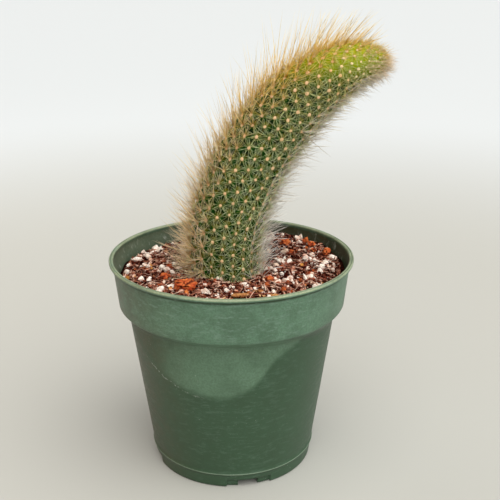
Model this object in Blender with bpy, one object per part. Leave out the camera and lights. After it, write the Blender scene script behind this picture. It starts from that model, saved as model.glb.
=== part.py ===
"""A potted monkey tail cactus: one curved bristly column in a round nursery pot.

The origin is the centre of the pot's base. +Z is up, -Y faces the viewer and the column curves
towards +X. Each piece is its own object, made at its real size in metres.
"""

import math

import bmesh
import bpy
import numpy as np
from mathutils import Matrix, Vector, noise

MM = 0.001
GAP = 0.3 * MM  # clearance between pieces that touch

# Nursery pot: a thin injection-moulded shell
POT_SIDES = 48
POT_HEIGHT = 93.0 * MM
RIM_RADIUS = 52.0 * MM
RIM_HEIGHT = 1.5 * MM
WALL = 1.2 * MM
COLLAR_TOP_RADIUS = 50.5 * MM
COLLAR_FOOT_RADIUS = 48.5 * MM
COLLAR_FOOT_HEIGHT = 73.3 * MM
SHOULDER_RADIUS = 44.45 * MM
SHOULDER_HEIGHT = 68.4 * MM
SHOULDER_BEND_RADIUS = 48.3 * MM
SHOULDER_BEND_HEIGHT = 72.5 * MM
SHOULDER_STEPS = 4
FOOT_RADIUS = 35.0 * MM
BODY_ROWS = 5
BODY_LOW = 11.0 * MM
LEDGE_HEIGHT = 6.4 * MM
LEDGE_DEPTH = 0.5 * MM
FLOOR_LIFT = 3.6 * MM
FLOOR_THICKNESS = 1.4 * MM
FOOT_RING_WIDTH = 2.2 * MM
PAD_RADIUS = 10.0 * MM

# Drain notches: four through the foot ring, each with a shallower recess that leaves two tabs
NOTCH_COUNT = 4
NOTCH_HEIGHT = 3.3 * MM
RECESS_SPAN = (-94.7, -63.0)  # degrees from +X of the front notch
OPENING_SPAN = (-86.8, -72.4)
RECESS_DEPTH = 1.0 * MM
DRAIN_LENGTH = 7.0 * MM
DRAIN_INSET = 1.5 * MM  # from the foot ring
WEDGE_STEPS = 4
CUT_MARGIN = 0.5 * MM  # how far a cutter runs past the faces it cuts

# Dent: the front wall is pushed in below the collar and meets the round body again at a curved edge
DENT_DEPTH = 2.6 * MM
DENT_LOW = 44.5 * MM
DENT_EDGE = (  # degrees from +X and height in mm: flat low down, steep on the right
    (-166, 68.4), (-150, 58.6), (-137, 52.8), (-125, 48.7), (-113, 46.0), (-101, 44.6), (-93, 44.6),
    (-83, 47.2), (-77, 50.5), (-71.5, 55.8), (-68.5, 60.0), (-64, 63.0), (-57, 65.2), (-50, 68.4))
DENT_SLACK = 0.5 * MM  # further clearance of the soil behind the dent's crease
DENT_SLACK_START = 0.2 * MM

# Potting mix: fills the pot to a little under the rim and is heaped against the back right
SOIL_LEVEL = 84.6 * MM
HEAP_HEIGHT = 3.6 * MM
HEAP_DIRECTION = math.radians(38.0)
HEAP_START = 18.0 * MM  # from the pot's axis, in the heap's direction
HEAP_RUN = 26.0 * MM
LUMP_HEIGHT = 0.5 * MM
LUMP_WAVES = (310.0, 270.0, 170.0, 230.0)  # radians a metre
SOIL_RINGS = 9
SOIL_CLEARANCE = 0.4 * MM  # to the pot's wall, measured level

# Column: one Bezier curve in the plane y = STEM_Y, from under the soil to the tip
STEM_Y = 3.5 * MM
STEM_CURVE = ((-1.0, 76.0), (-14.0, 126.5), (40.0, 181.0), (62.5, 172.0))  # x, z in mm
STEM_ROOT_LENGTH = 6.0 * MM  # straight stretch below the curve
STEM_RADIUS = 15.0 * MM
STEM_TAPER_LENGTH = 105.0 * MM
STEM_TAPER_POWER = 2.4
STEM_FOOT_LENGTH = 5.0 * MM  # the buried foot draws in over this length
STEM_FOOT_SHARE = 0.75
RIB_COUNT = 21
AREOLE_PITCH = 5.0 * MM  # along a rib
AREOLE_SPIRALS = (11, 10)  # rows of areoles that wind up the column each way; they add up to the ribs
AREOLE_START = 38.8 * MM  # an areole's distance along the axis on the front rib
FRONT_RIB = math.radians(-86.0)
TWIST_START = 80.0 * MM  # from here to the tip the ribs wind round a little
TWIST_RATE = math.radians(0.6) / MM
TUBERCLE_HEIGHT = 0.9 * MM
RINGS_PER_PITCH = 3
CURVE_STEPS = 400
TIP_ROW_SHARE = 0.9  # the last ring stands this share of a row short of the tip
SIDEWAYS = Vector((0.0, 1.0, 0.0))

# Loose stones and chips on the soil: x, y, width, depth, height in mm and a turn in degrees
LAVA_ROCKS = (
    (-19.6, -19.4, 10.6, 9.4, 7.0, 15),
    (-28.2, -7.2, 5.9, 4.6, 3.8, 35),
    (-15.4, -31.6, 6.0, 4.6, 3.6, -10),
    (16.2, -9.6, 4.4, 4.0, 3.6, 20),
    (42.2, 14.6, 5.6, 4.4, 4.2, 70),
    (36.4, 15.6, 3.6, 3.2, 3.0, 10),
    (36.0, 22.6, 4.6, 3.8, 3.4, -30),
    (27.4, 16.2, 5.2, 4.2, 3.4, -15),
    (24.8, 28.2, 5.6, 4.6, 4.2, 25),
    (-12.6, 32.4, 6.8, 5.4, 4.6, 50),
)
PERLITE_GRAINS = (
    (-35.0, 29.4, 3.8, 3.4, 3.6, 20),
    (-39.8, 22.2, 3.2, 2.8, 2.6, 60),
    (44.4, 7.2, 4.6, 3.8, 3.4, 95),
    (21.8, 9.6, 4.6, 3.8, 3.4, 10),
    (-28.0, 1.2, 3.6, 3.0, 3.0, -20),
    (-29.0, -20.2, 4.1, 3.4, 3.2, 25),
    (-10.6, -22.4, 4.4, 3.6, 3.2, -35),
    (-2.0, -22.0, 2.8, 2.6, 2.6, 0),
    (34.4, -18.8, 3.2, 2.8, 3.4, 40),
    (-45.2, 1.0, 2.8, 2.6, 2.8, 0),
    (4.0, 36.6, 3.8, 3.2, 3.2, 75),
    (-22.4, 22.6, 3.4, 3.0, 3.0, -50),
)
BARK_CHIPS = (
    (3.4, -28.4, 7.4, 3.4, 2.2, 12),
    (10.8, -23.4, 6.2, 3.0, 2.0, -28),
    (16.4, -28.8, 6.0, 3.2, 2.2, 30),
    (12.0, 26.6, 7.0, 3.4, 2.2, -40),
)
CHARCOAL_BITS = ((-22.6, -0.2, 3.0, 2.6, 2.6, 30),)
SUNK_SHARE = 0.38  # part of each stone's height that lies in the soil
STONE_ROUGHNESS = 0.16
STONE_DIMPLES = 1.7  # dimples across half a stone
STONE_VARIETY = 900.0  # turns a stone's place into its own stretch of noise
LARGE_STONE = 8.0  # mm wide, from which a stone gets finer faces


def clear_scene():
    """Remove whatever the open file holds, so that the model stands alone."""
    for obj in list(bpy.data.objects):
        bpy.data.objects.remove(obj, do_unlink=True)


def make_material(name, colour, roughness, metallic=0.0):
    """Principled material with a plain colour."""
    material = bpy.data.materials.new(name)
    material.use_nodes = True
    shader = material.node_tree.nodes["Principled BSDF"]
    shader.inputs["Base Color"].default_value = (*colour, 1.0)
    shader.inputs["Roughness"].default_value = roughness
    shader.inputs["Metallic"].default_value = metallic
    material.diffuse_color = (*colour, 1.0)
    return material


def object_from_bmesh(name, shape, material=None):
    """Turn a bmesh into a named, smooth-shaded object and free it."""
    bmesh.ops.recalc_face_normals(shape, faces=shape.faces)
    mesh = bpy.data.meshes.new(name)
    shape.to_mesh(mesh)
    shape.free()
    mesh.shade_smooth()
    mesh.set_sharp_from_angle(angle=math.radians(35.0))
    obj = bpy.data.objects.new(name, mesh)
    bpy.context.scene.collection.objects.link(obj)
    if material is not None:
        mesh.materials.append(material)
    return obj


def smooth_step(value):
    """0 below 0, 1 above 1 and an even slope between."""
    share = min(max(value, 0.0), 1.0)
    return share * share * (3.0 - 2.0 * share)


def spin_profile(profile, sides):
    """Turn an open (radius, height) profile, which starts and ends on the axis, into a solid."""
    shape = bmesh.new()
    points = [shape.verts.new((radius, 0.0, height)) for radius, height in profile]
    edges = [shape.edges.new(pair) for pair in zip(points, points[1:])]
    bmesh.ops.spin(shape, geom=points + edges, axis=(0, 0, 1), cent=(0, 0, 0),
                   angle=2.0 * math.pi, steps=sides)
    bmesh.ops.remove_doubles(shape, verts=shape.verts, dist=0.01 * MM)
    return shape


def subtract(target, cutters, name):
    """Cut a list of solids out of a target with one exact Boolean on their collection."""
    group = bpy.data.collections.new(name)
    bpy.context.scene.collection.children.link(group)
    for cutter in cutters:
        bpy.context.scene.collection.objects.unlink(cutter)
        group.objects.link(cutter)
        cutter.hide_render = True
        cutter.display_type = "WIRE"
    cut = target.modifiers.new(name, "BOOLEAN")
    cut.operation = "DIFFERENCE"
    cut.solver = "EXACT"
    cut.operand_type = "COLLECTION"
    cut.collection = group


def body_radius(height):
    """Outer radius of the straight tapered body at a height."""
    share = height / SHOULDER_HEIGHT
    return FOOT_RADIUS + (SHOULDER_RADIUS - FOOT_RADIUS) * share


def bend(low, middle, high, share):
    """Value of a quadratic curve from low to high, pulled towards middle."""
    back = 1.0 - share
    return low * back ** 2 + 2.0 * middle * back * share + high * share ** 2


def shoulder_points(inset):
    """Rounded shoulder from the body out to the collar's foot, from low to high."""
    points = []
    for step in range(SHOULDER_STEPS + 1):
        share = step / SHOULDER_STEPS
        radius = bend(SHOULDER_RADIUS, SHOULDER_BEND_RADIUS, COLLAR_FOOT_RADIUS, share)
        height = bend(SHOULDER_HEIGHT, SHOULDER_BEND_HEIGHT, COLLAR_FOOT_HEIGHT, share)
        points.append((radius - inset, height))
    return points


def body_heights():
    """Heights up the tapered body: one above the ledge, then close rows across the dent."""
    step = (SHOULDER_HEIGHT - DENT_LOW) / BODY_ROWS
    return [BODY_LOW] + [DENT_LOW - 0.5 * step + step * row for row in range(BODY_ROWS)]


def outer_profile():
    """Outer wall from the floor's middle out, up the body and over the rim."""
    ring_inner = FOOT_RADIUS - FOOT_RING_WIDTH
    ledge = body_radius(LEDGE_HEIGHT)
    points = [(0.0, 0.0), (PAD_RADIUS, 0.0), (PAD_RADIUS + WALL, FLOOR_LIFT)]
    points += [(ring_inner, FLOOR_LIFT), (ring_inner, 0.0), (FOOT_RADIUS - 0.4 * MM, 0.0)]
    points += [(body_radius(0.6 * MM), 0.6 * MM), (ledge, LEDGE_HEIGHT)]
    points += [(ledge + LEDGE_DEPTH, LEDGE_HEIGHT + 0.4 * MM), (ledge + 0.1 * MM, LEDGE_HEIGHT + 1.0 * MM)]
    points += [(body_radius(height), height) for height in body_heights()]
    points += shoulder_points(0.0)
    points += [(COLLAR_TOP_RADIUS, POT_HEIGHT - RIM_HEIGHT), (RIM_RADIUS, POT_HEIGHT - RIM_HEIGHT + 0.5 * MM)]
    points += [(RIM_RADIUS, POT_HEIGHT - 0.5 * MM), (RIM_RADIUS - 0.6 * MM, POT_HEIGHT)]
    return points


def inner_side():
    """Inner wall from the floor's edge up to the soil's level, low to high."""
    floor_top = FLOOR_LIFT + FLOOR_THICKNESS
    points = [(body_radius(floor_top) - WALL, floor_top)]
    points += [(body_radius(height) - WALL, height) for height in body_heights()]
    points += shoulder_points(WALL)
    points += [(inner_collar_radius(SOIL_LEVEL), SOIL_LEVEL)]
    return points


def inner_collar_radius(height):
    """Inner radius of the collar between its foot and the rim."""
    top = POT_HEIGHT - RIM_HEIGHT
    share = (height - COLLAR_FOOT_HEIGHT) / (top - COLLAR_FOOT_HEIGHT)
    return COLLAR_FOOT_RADIUS + (COLLAR_TOP_RADIUS - COLLAR_FOOT_RADIUS) * share - WALL


def dent_edge(angle):
    """Height of the dent's lower edge at an angle round the pot, between the points of its table."""
    turn = math.degrees(angle)
    for (start, low), (end, high) in zip(DENT_EDGE, DENT_EDGE[1:]):
        if start <= turn <= end:
            return (low + (high - low) * (turn - start) / (end - start)) * MM
    return SHOULDER_HEIGHT


def dent_depth(angle, height):
    """How far the wall is pushed in: nothing at the curved edge, most just under the collar."""
    low = dent_edge(angle)
    if height <= low or height >= COLLAR_FOOT_HEIGHT:
        return 0.0
    rise = (min(height, SHOULDER_HEIGHT) - low) / (SHOULDER_HEIGHT - DENT_LOW)
    back_out = (COLLAR_FOOT_HEIGHT - height) / (COLLAR_FOOT_HEIGHT - SHOULDER_HEIGHT)
    return DENT_DEPTH * max(rise, 0.0) * smooth_step(back_out)


def press_dent(shape, slack=0.0):
    """Move the vertices of a turned shape inwards where the wall is dented.

    slack is a further clearance inside the dent, for what lies against its creased inner face.
    """
    for vertex in shape.verts:
        x, y, z = vertex.co
        radius = math.hypot(x, y)
        if radius < FOOT_RADIUS:
            continue
        depth = dent_depth(math.atan2(y, x), z)
        depth += slack * min(depth / DENT_SLACK_START, 1.0)
        share = 1.0 - depth / radius
        vertex.co = (x * share, y * share, z)


def wedge(name, radii, heights, span):
    """Curved block between two radii, two heights and two angles in degrees, as a cutter."""
    inner, outer = radii
    low, high = heights
    shape = bmesh.new()
    step = (span[1] - span[0]) / WEDGE_STEPS
    angles = [math.radians(span[0] + step * index) for index in range(WEDGE_STEPS + 1)]
    section = ((inner, low), (outer, low), (outer, high), (inner, high))
    rings = []
    for angle in angles:
        ring = [shape.verts.new((r * math.cos(angle), r * math.sin(angle), z)) for r, z in section]
        rings.append(ring)
    for ring, following in zip(rings, rings[1:]):
        for side in range(4):
            other = (side + 1) % 4
            shape.faces.new((ring[side], ring[other], following[other], following[side]))
    shape.faces.new(rings[0])
    shape.faces.new(reversed(rings[-1]))
    return object_from_bmesh(name, shape)


def notch_cutters():
    """Recess, opening and floor drain of each notch."""
    ring_inner = FOOT_RADIUS - FOOT_RING_WIDTH
    recess_radii = (FOOT_RADIUS - RECESS_DEPTH, FOOT_RADIUS + 2.0 * MM)
    opening_radii = (ring_inner - CUT_MARGIN, FOOT_RADIUS - 0.5 * RECESS_DEPTH)
    drain_radii = (ring_inner - DRAIN_LENGTH, ring_inner - DRAIN_INSET)
    recess_heights = (-CUT_MARGIN, NOTCH_HEIGHT)
    opening_heights = (-CUT_MARGIN, NOTCH_HEIGHT - 0.2 * MM)
    drain_heights = (FLOOR_LIFT - CUT_MARGIN, FLOOR_LIFT + FLOOR_THICKNESS + CUT_MARGIN)
    cutters = []
    for index in range(NOTCH_COUNT):
        turn = 360.0 * index / NOTCH_COUNT
        recess = [angle + turn for angle in RECESS_SPAN]
        opening = [angle + turn for angle in OPENING_SPAN]
        drain = [opening[0] + 1.0, opening[1] - 1.0]
        cutters.append(wedge(f"notch_recess_{index + 1}", recess_radii, recess_heights, recess))
        cutters.append(wedge(f"notch_opening_{index + 1}", opening_radii, opening_heights, opening))
        cutters.append(wedge(f"floor_drain_{index + 1}", drain_radii, drain_heights, drain))
    return cutters


def build_pot():
    """Thin turned shell with its collar, shoulder, ledge, dent and drain notches."""
    inner = [(radius, height) for radius, height in inner_side() if height < SOIL_LEVEL]
    top = [(COLLAR_TOP_RADIUS - WALL, POT_HEIGHT - RIM_HEIGHT), (COLLAR_TOP_RADIUS - 0.6 * MM, POT_HEIGHT)]
    profile = outer_profile() + list(reversed(inner + top))
    profile.append((0.0, FLOOR_LIFT + FLOOR_THICKNESS))
    shape = spin_profile(profile, POT_SIDES)
    press_dent(shape)
    material = make_material("pot_green", (0.075, 0.165, 0.105), 0.45)
    pot = object_from_bmesh("nursery_pot", shape, material)
    subtract(pot, notch_cutters(), "drain_cutters")
    return pot


def soil_height(x, y):
    """Height of the soil's surface: level, heaped at the back right, with shallow lumps."""
    along = x * math.cos(HEAP_DIRECTION) + y * math.sin(HEAP_DIRECTION)
    heap = HEAP_HEIGHT * smooth_step((along - HEAP_START) / HEAP_RUN)
    cross_x, cross_y, slant_x, slant_y = LUMP_WAVES
    crossed = math.sin(x * cross_x + 1.0) * math.cos(y * cross_y)
    slanted = math.sin(x * slant_x - y * slant_y)
    return SOIL_LEVEL + heap + LUMP_HEIGHT * (crossed + slanted)


def build_soil():
    """Fill of the pot, a clearance inside the wall, with an uneven top."""
    side = [(radius - SOIL_CLEARANCE, height) for radius, height in inner_side()]
    floor = FLOOR_LIFT + FLOOR_THICKNESS + GAP
    side[0] = (body_radius(floor) - WALL - SOIL_CLEARANCE, floor)
    edge_radius = side[-1][0]
    rings = [edge_radius * ring / SOIL_RINGS for ring in range(SOIL_RINGS)]
    top = [(radius, POT_HEIGHT) for radius in reversed(rings)]
    profile = [(0.0, floor)] + side + top
    shape = spin_profile(profile, POT_SIDES)
    press_dent(shape, DENT_SLACK)
    for vertex in shape.verts:
        x, y, z = vertex.co
        if z > SOIL_LEVEL - 0.1 * MM:
            vertex.co.z = soil_height(x, y)
    material = make_material("potting_mix", (0.055, 0.026, 0.018), 0.95)
    return object_from_bmesh("potting_mix", shape, material)


def curve_point(share):
    """Point of the column's Bezier curve in its plane."""
    back = 1.0 - share
    weights = (back ** 3, 3.0 * share * back ** 2, 3.0 * share ** 2 * back, share ** 3)
    x = sum(weight * point[0] for weight, point in zip(weights, STEM_CURVE))
    z = sum(weight * point[1] for weight, point in zip(weights, STEM_CURVE))
    return Vector((x * MM, STEM_Y, z * MM))


def stem_axis():
    """Finely spaced axis points from the buried foot to the tip, and their distance along it."""
    points = [curve_point(step / CURVE_STEPS) for step in range(CURVE_STEPS + 1)]
    down = (points[0] - points[1]).normalized()
    points.insert(0, points[0] + down * STEM_ROOT_LENGTH)
    places = np.array(points)
    lengths = np.concatenate(([0.0], np.cumsum(np.linalg.norm(np.diff(places, axis=0), axis=1))))
    return places, lengths


def stem_radius(distance, length):
    """Radius along the column: even at first, then a superellipse down to the blunt tip."""
    from_tip = min((length - distance) / STEM_TAPER_LENGTH, 1.0)
    tip = (1.0 - (1.0 - from_tip) ** STEM_TAPER_POWER) ** (1.0 / STEM_TAPER_POWER)
    foot = STEM_FOOT_SHARE + (1.0 - STEM_FOOT_SHARE) * smooth_step(distance / STEM_FOOT_LENGTH)
    return STEM_RADIUS * tip * foot


def axis_frame(distance, places, lengths):
    """Point of the axis at a distance, with the directions along it and away from it."""
    centre, ahead, behind = (
        Vector([np.interp(distance + shift, lengths, places[:, axis]) for axis in range(3)])
        for shift in (0.0, MM, -MM)
    )
    along = (ahead - behind).normalized()
    return centre, along, Vector((-along.z, 0.0, along.x))


def areole_nearness(angle, distance):
    """1 on an areole and down to 0 between them: two sets of spiral ridges that cross at each areole."""
    turned = angle - FRONT_RIB + TWIST_RATE * max(distance - TWIST_START, 0.0)
    rise = 2.0 * math.pi * (distance - AREOLE_START) / AREOLE_PITCH
    left, right = AREOLE_SPIRALS
    return 0.5 + 0.25 * (math.cos(rise + left * turned) + math.cos(rise - right * turned))


def stem_solid(name, grow, bumps):
    """Ring after ring of the column, with a low tubercle under each areole.

    grow makes the solid larger all round, and bumps is how far the low points lie in.
    """
    places, lengths = stem_axis()
    length = lengths[-1]
    rows = round(length * RINGS_PER_PITCH / AREOLE_PITCH)
    columns = 2 * RIB_COUNT
    shape = bmesh.new()
    rings = []
    for row in range(rows):
        distance = length * row / (rows - TIP_ROW_SHARE)
        centre, along, outward = axis_frame(distance, places, lengths)
        if row == 0:
            centre -= along * grow
        radius = stem_radius(distance, length)
        ring = []
        for column in range(columns):
            angle = 2.0 * math.pi * column / columns
            sunk = bumps * (1.0 - areole_nearness(angle, distance)) * radius / STEM_RADIUS
            reach = radius + grow - sunk
            direction = outward * math.cos(angle) + SIDEWAYS * math.sin(angle)
            ring.append(shape.verts.new(centre + direction * reach))
        rings.append(ring)
    for ring, following in zip(rings, rings[1:]):
        for column in range(columns):
            other = (column + 1) % columns
            shape.faces.new((ring[column], ring[other], following[other], following[column]))
    shape.faces.new(rings[0])
    shape.faces.new(reversed(rings[-1]))
    return object_from_bmesh(name, shape)


def build_stem():
    """The curved column, one solid from its buried base to its tip."""
    stem = stem_solid("cactus_stem", 0.0, TUBERCLE_HEIGHT)
    stem.data.materials.append(make_material("cactus_skin", (0.06, 0.15, 0.03), 0.6))
    return stem


def stone(name, place, material=None, grow=0.0):
    """A rough stone: a ball stretched to size, dimpled by smooth noise and set into the soil.

    place is its row of x, y, width, depth, height and turn; grow makes it larger all round.
    """
    x, y, width, depth, height = (value * MM for value in place[:5])
    turn = place[5]
    shape = bmesh.new()
    bmesh.ops.create_icosphere(shape, subdivisions=3 if place[2] > LARGE_STONE else 2, radius=1.0)
    half = Vector((0.5 * width, 0.5 * depth, 0.5 * height))
    own_noise = Vector((x, y, 0.0)) * STONE_VARIETY
    for vertex in shape.verts:
        push = 1.0 + STONE_ROUGHNESS * noise.noise(vertex.co * STONE_DIMPLES + own_noise)
        vertex.co = vertex.co * half * push + vertex.co.normalized() * grow
    middle = soil_height(x, y) + (0.5 - SUNK_SHARE) * height
    place_matrix = Matrix.Translation((x, y, middle)) @ Matrix.Rotation(math.radians(turn), 4, "Z")
    bmesh.ops.transform(shape, matrix=place_matrix, verts=shape.verts)
    return object_from_bmesh(name, shape, material)


def build_stones():
    """Lava rock, perlite, bark and charcoal on the soil, and a pocket cutter for each."""
    kinds = (
        ("lava_rock", LAVA_ROCKS, make_material("lava_rock", (0.45, 0.09, 0.03), 0.9)),
        ("perlite", PERLITE_GRAINS, make_material("perlite", (0.78, 0.75, 0.70), 0.85)),
        ("bark_chip", BARK_CHIPS, make_material("bark_chip", (0.36, 0.15, 0.05), 0.85)),
        ("charcoal", CHARCOAL_BITS, make_material("charcoal", (0.02, 0.02, 0.02), 0.8)),
    )
    pockets = []
    for kind, places, material in kinds:
        for index, place in enumerate(places, start=1):
            name = f"{kind}_{index:02d}"
            stone(name, place, material)
            pockets.append(stone(f"pocket_{name}", place, grow=GAP))
    return pockets


def main():
    """Build every piece in its place."""
    clear_scene()
    build_pot()
    soil = build_soil()
    build_stem()
    socket = stem_solid("stem_socket", SOIL_CLEARANCE, 0.0)
    pockets = build_stones()
    subtract(soil, [socket] + pockets, "soil_cutters")


main()
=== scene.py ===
"""Looks of the potted monkey tail cactus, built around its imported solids.

The frame is in metres: the origin is the centre of the pot's base, +Z is up, -Y faces the viewer
and the column curves towards +X. Sizes below are written in millimetres and turned into metres
with MM. The column, the pot, the soil and every loose stone are made again here as finer surfaces
on the same driving dimensions as the solids they stand for.
"""

import logging
import math
from dataclasses import dataclass, field
from enum import Enum

import bpy
import numpy as np
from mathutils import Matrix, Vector


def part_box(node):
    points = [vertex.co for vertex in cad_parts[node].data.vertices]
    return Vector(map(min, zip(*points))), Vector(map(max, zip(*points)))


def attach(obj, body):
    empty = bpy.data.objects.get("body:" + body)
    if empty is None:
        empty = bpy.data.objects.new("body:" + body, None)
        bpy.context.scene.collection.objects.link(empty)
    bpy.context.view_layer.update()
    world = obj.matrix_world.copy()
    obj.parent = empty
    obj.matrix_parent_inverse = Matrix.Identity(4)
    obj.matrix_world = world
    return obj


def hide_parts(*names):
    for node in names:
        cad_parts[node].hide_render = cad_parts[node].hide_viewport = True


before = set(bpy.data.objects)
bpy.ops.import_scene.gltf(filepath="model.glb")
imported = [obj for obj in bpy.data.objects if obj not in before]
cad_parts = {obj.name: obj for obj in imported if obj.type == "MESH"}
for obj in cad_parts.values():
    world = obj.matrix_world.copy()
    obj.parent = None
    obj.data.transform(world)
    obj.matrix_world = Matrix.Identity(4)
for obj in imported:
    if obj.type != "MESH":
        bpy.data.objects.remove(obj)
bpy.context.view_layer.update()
LOG = logging.getLogger("cactus")

MM = 0.001
BODY = "root"
BAKE_MAP = "OFBake"  # every piece brings its own map, which patterns may follow
TURN = 2.0 * math.pi
SEED = 20260


def smooth_step(value: np.ndarray) -> np.ndarray:
    """Give 0 below 0, 1 above 1 and an even S-shaped slope between."""
    share = np.clip(value, 0.0, 1.0)
    return share * share * (3.0 - 2.0 * share)


def unit(vectors: np.ndarray) -> np.ndarray:
    """Scale vectors along the last axis to length 1."""
    return vectors / np.linalg.norm(vectors, axis=-1, keepdims=True)


def blend(low: np.ndarray, high: np.ndarray, share: np.ndarray) -> np.ndarray:
    """Mix two values or arrays by a share of 0 to 1."""
    return low + (high - low) * share


def corner_hash(cells: np.ndarray, seed: float) -> np.ndarray:
    """Give each whole-numbered cell corner a fixed value from -1 to 1.

    Formula: the fractional part of a large sine of the corner's dot product, stretched to -1..1.

    Args:
        cells: corner indices, the last axis holding x, y and z.
        seed: shifts the whole pattern.

    Returns:
        One value for each corner.
    """
    mixed = cells @ np.array((127.1, 311.7, 74.7)) + seed * 19.19
    wave = np.sin(mixed) * 43758.5453
    return 2.0 * (wave - np.floor(wave)) - 1.0


def smooth_noise(points: np.ndarray, size: float, seed: float) -> np.ndarray:
    """Evaluate soft random lumps at points in space.

    Formula: the eight hashed corners of the cell around each point, blended by smooth steps of
    the point's place in that cell.

    Args:
        points: places, the last axis holding x, y and z.
        size: width of one lump, in the points' unit.
        seed: picks the pattern.

    Returns:
        Values from -1 to 1, one for each point.
    """
    scaled = points / size
    base = np.floor(scaled)
    share = smooth_step(scaled - base)
    total = np.zeros(points.shape[:-1])
    for corner in np.ndindex(2, 2, 2):
        step = np.array(corner, float)
        weight = np.prod(np.where(step > 0.0, share, 1.0 - share), axis=-1)
        total += weight * corner_hash(base + step, seed)
    return total


@dataclass
class Patch:
    """A surface before it becomes a mesh.

    Attributes:
        points: vertex places, n by 3.
        faces: lists of triangles or quads, each m by 3 or m by 4, as vertex numbers.
        uv: a place on the bake map for each face corner, in the order of faces.
        marks: named values for each vertex, for materials to read.
    """

    points: np.ndarray
    faces: list[np.ndarray]
    uv: np.ndarray
    marks: dict[str, np.ndarray] = field(default_factory=dict)

    def triangles(self) -> int:
        """Count the triangles that the faces make."""
        return sum(len(block) * (block.shape[1] - 2) for block in self.faces)

    def mesh(self, name: str, smooth: bool = True) -> bpy.types.Mesh:
        """Put the arrays into a Blender mesh.

        Args:
            name: the mesh's name.
            smooth: whether its faces are shaded smooth.

        Returns:
            The new mesh, with its bake map and its marks.
        """
        mesh = bpy.data.meshes.new(name)
        corners = np.concatenate([block.ravel() for block in self.faces])
        sizes = np.concatenate([np.full(len(block), block.shape[1]) for block in self.faces])
        starts = np.concatenate(([0], np.cumsum(sizes)[:-1]))
        mesh.vertices.add(len(self.points))
        mesh.vertices.foreach_set("co", self.points.astype(np.float32).ravel())
        mesh.loops.add(len(corners))
        mesh.loops.foreach_set("vertex_index", corners.astype(np.int32))
        mesh.polygons.add(len(sizes))
        mesh.polygons.foreach_set("loop_start", starts.astype(np.int32))
        mesh.polygons.foreach_set("use_smooth", np.full(len(sizes), smooth))
        mesh.update(calc_edges=True)
        layer = mesh.uv_layers.new(name=BAKE_MAP)
        layer.uv.foreach_set("vector", self.uv.astype(np.float32).ravel())
        for mark, values in self.marks.items():
            attribute = mesh.attributes.new(mark, "FLOAT", "POINT")
            attribute.data.foreach_set("value", values.astype(np.float32).ravel())
        return mesh


def join_patches(patches: list[Patch]) -> Patch:
    """Join several patches without marks into one.

    Args:
        patches: the patches, whose triangles and quads stay in their order.

    Returns:
        One patch that holds them all.
    """
    shifts = np.cumsum([0] + [len(patch.points) for patch in patches[:-1]])
    faces = [block + shift for patch, shift in zip(patches, shifts) for block in patch.faces]
    return Patch(np.concatenate([patch.points for patch in patches]), faces,
                 np.concatenate([patch.uv for patch in patches]))


def corner_map(rows: int, columns: int) -> tuple[np.ndarray, np.ndarray]:
    """Number the quads of a closed-round grid and place their corners on the bake map.

    Args:
        rows: rows of vertices.
        columns: vertices round each row.

    Returns:
        Quads as vertex numbers, and their corners' places, u round and v along the rows.
    """
    row, column = np.meshgrid(np.arange(rows - 1), np.arange(columns), indexing="ij")
    beside = (column + 1) % columns
    quads = np.stack([row * columns + column, row * columns + beside,
                      (row + 1) * columns + beside, (row + 1) * columns + column], axis=-1)
    u = np.stack([column, column + 1, column + 1, column], axis=-1) / columns
    v = np.stack([row, row, row + 1, row + 1], axis=-1) / (rows - 1)
    return quads.reshape(-1, 4), np.stack([u, v], axis=-1).reshape(-1, 2)


def turned_patch(grid: np.ndarray, low_pole: np.ndarray, high_pole: np.ndarray,
                 marks: dict[str, np.ndarray] | None = None) -> Patch:
    """Make a closed surface from rings of points and a pole at each end.

    The rings run round counter-clockwise as seen from the high pole, so the faces point out.

    Args:
        grid: rows by columns by 3 places.
        low_pole: the point that closes the first ring.
        high_pole: the point that closes the last ring.
        marks: values for each grid point, which the poles take from their ring's mean.

    Returns:
        The closed patch.
    """
    rows, columns = grid.shape[:2]
    quads, uv = corner_map(rows, columns)
    low, high = rows * columns, rows * columns + 1
    column = np.arange(columns)
    beside = (column + 1) % columns
    bottom = np.stack([beside, column, np.full(columns, low)], axis=-1)
    last = (rows - 1) * columns
    top = np.stack([last + column, last + beside, np.full(columns, high)], axis=-1)
    edge = 0.5 / (rows - 1)
    uv = uv * (1.0, 1.0 - 2.0 * edge) + (0.0, edge)
    left, right = column / columns, (column + 1) / columns
    middle = 0.5 * (left + right)
    low_uv = np.stack([right, np.full(columns, edge), left, np.full(columns, edge),
                       middle, np.zeros(columns)], axis=-1)
    high_uv = np.stack([left, np.full(columns, 1.0 - edge), right, np.full(columns, 1.0 - edge),
                        middle, np.ones(columns)], axis=-1)
    points = np.concatenate([grid.reshape(-1, 3), [low_pole], [high_pole]])
    kept = {}
    for mark, values in (marks or {}).items():
        kept[mark] = np.concatenate([values.ravel(), [values[0].mean(), values[-1].mean()]])
    return Patch(points, [quads, bottom, top],
                 np.concatenate([uv, low_uv.reshape(-1, 2), high_uv.reshape(-1, 2)]), kept)


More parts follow.
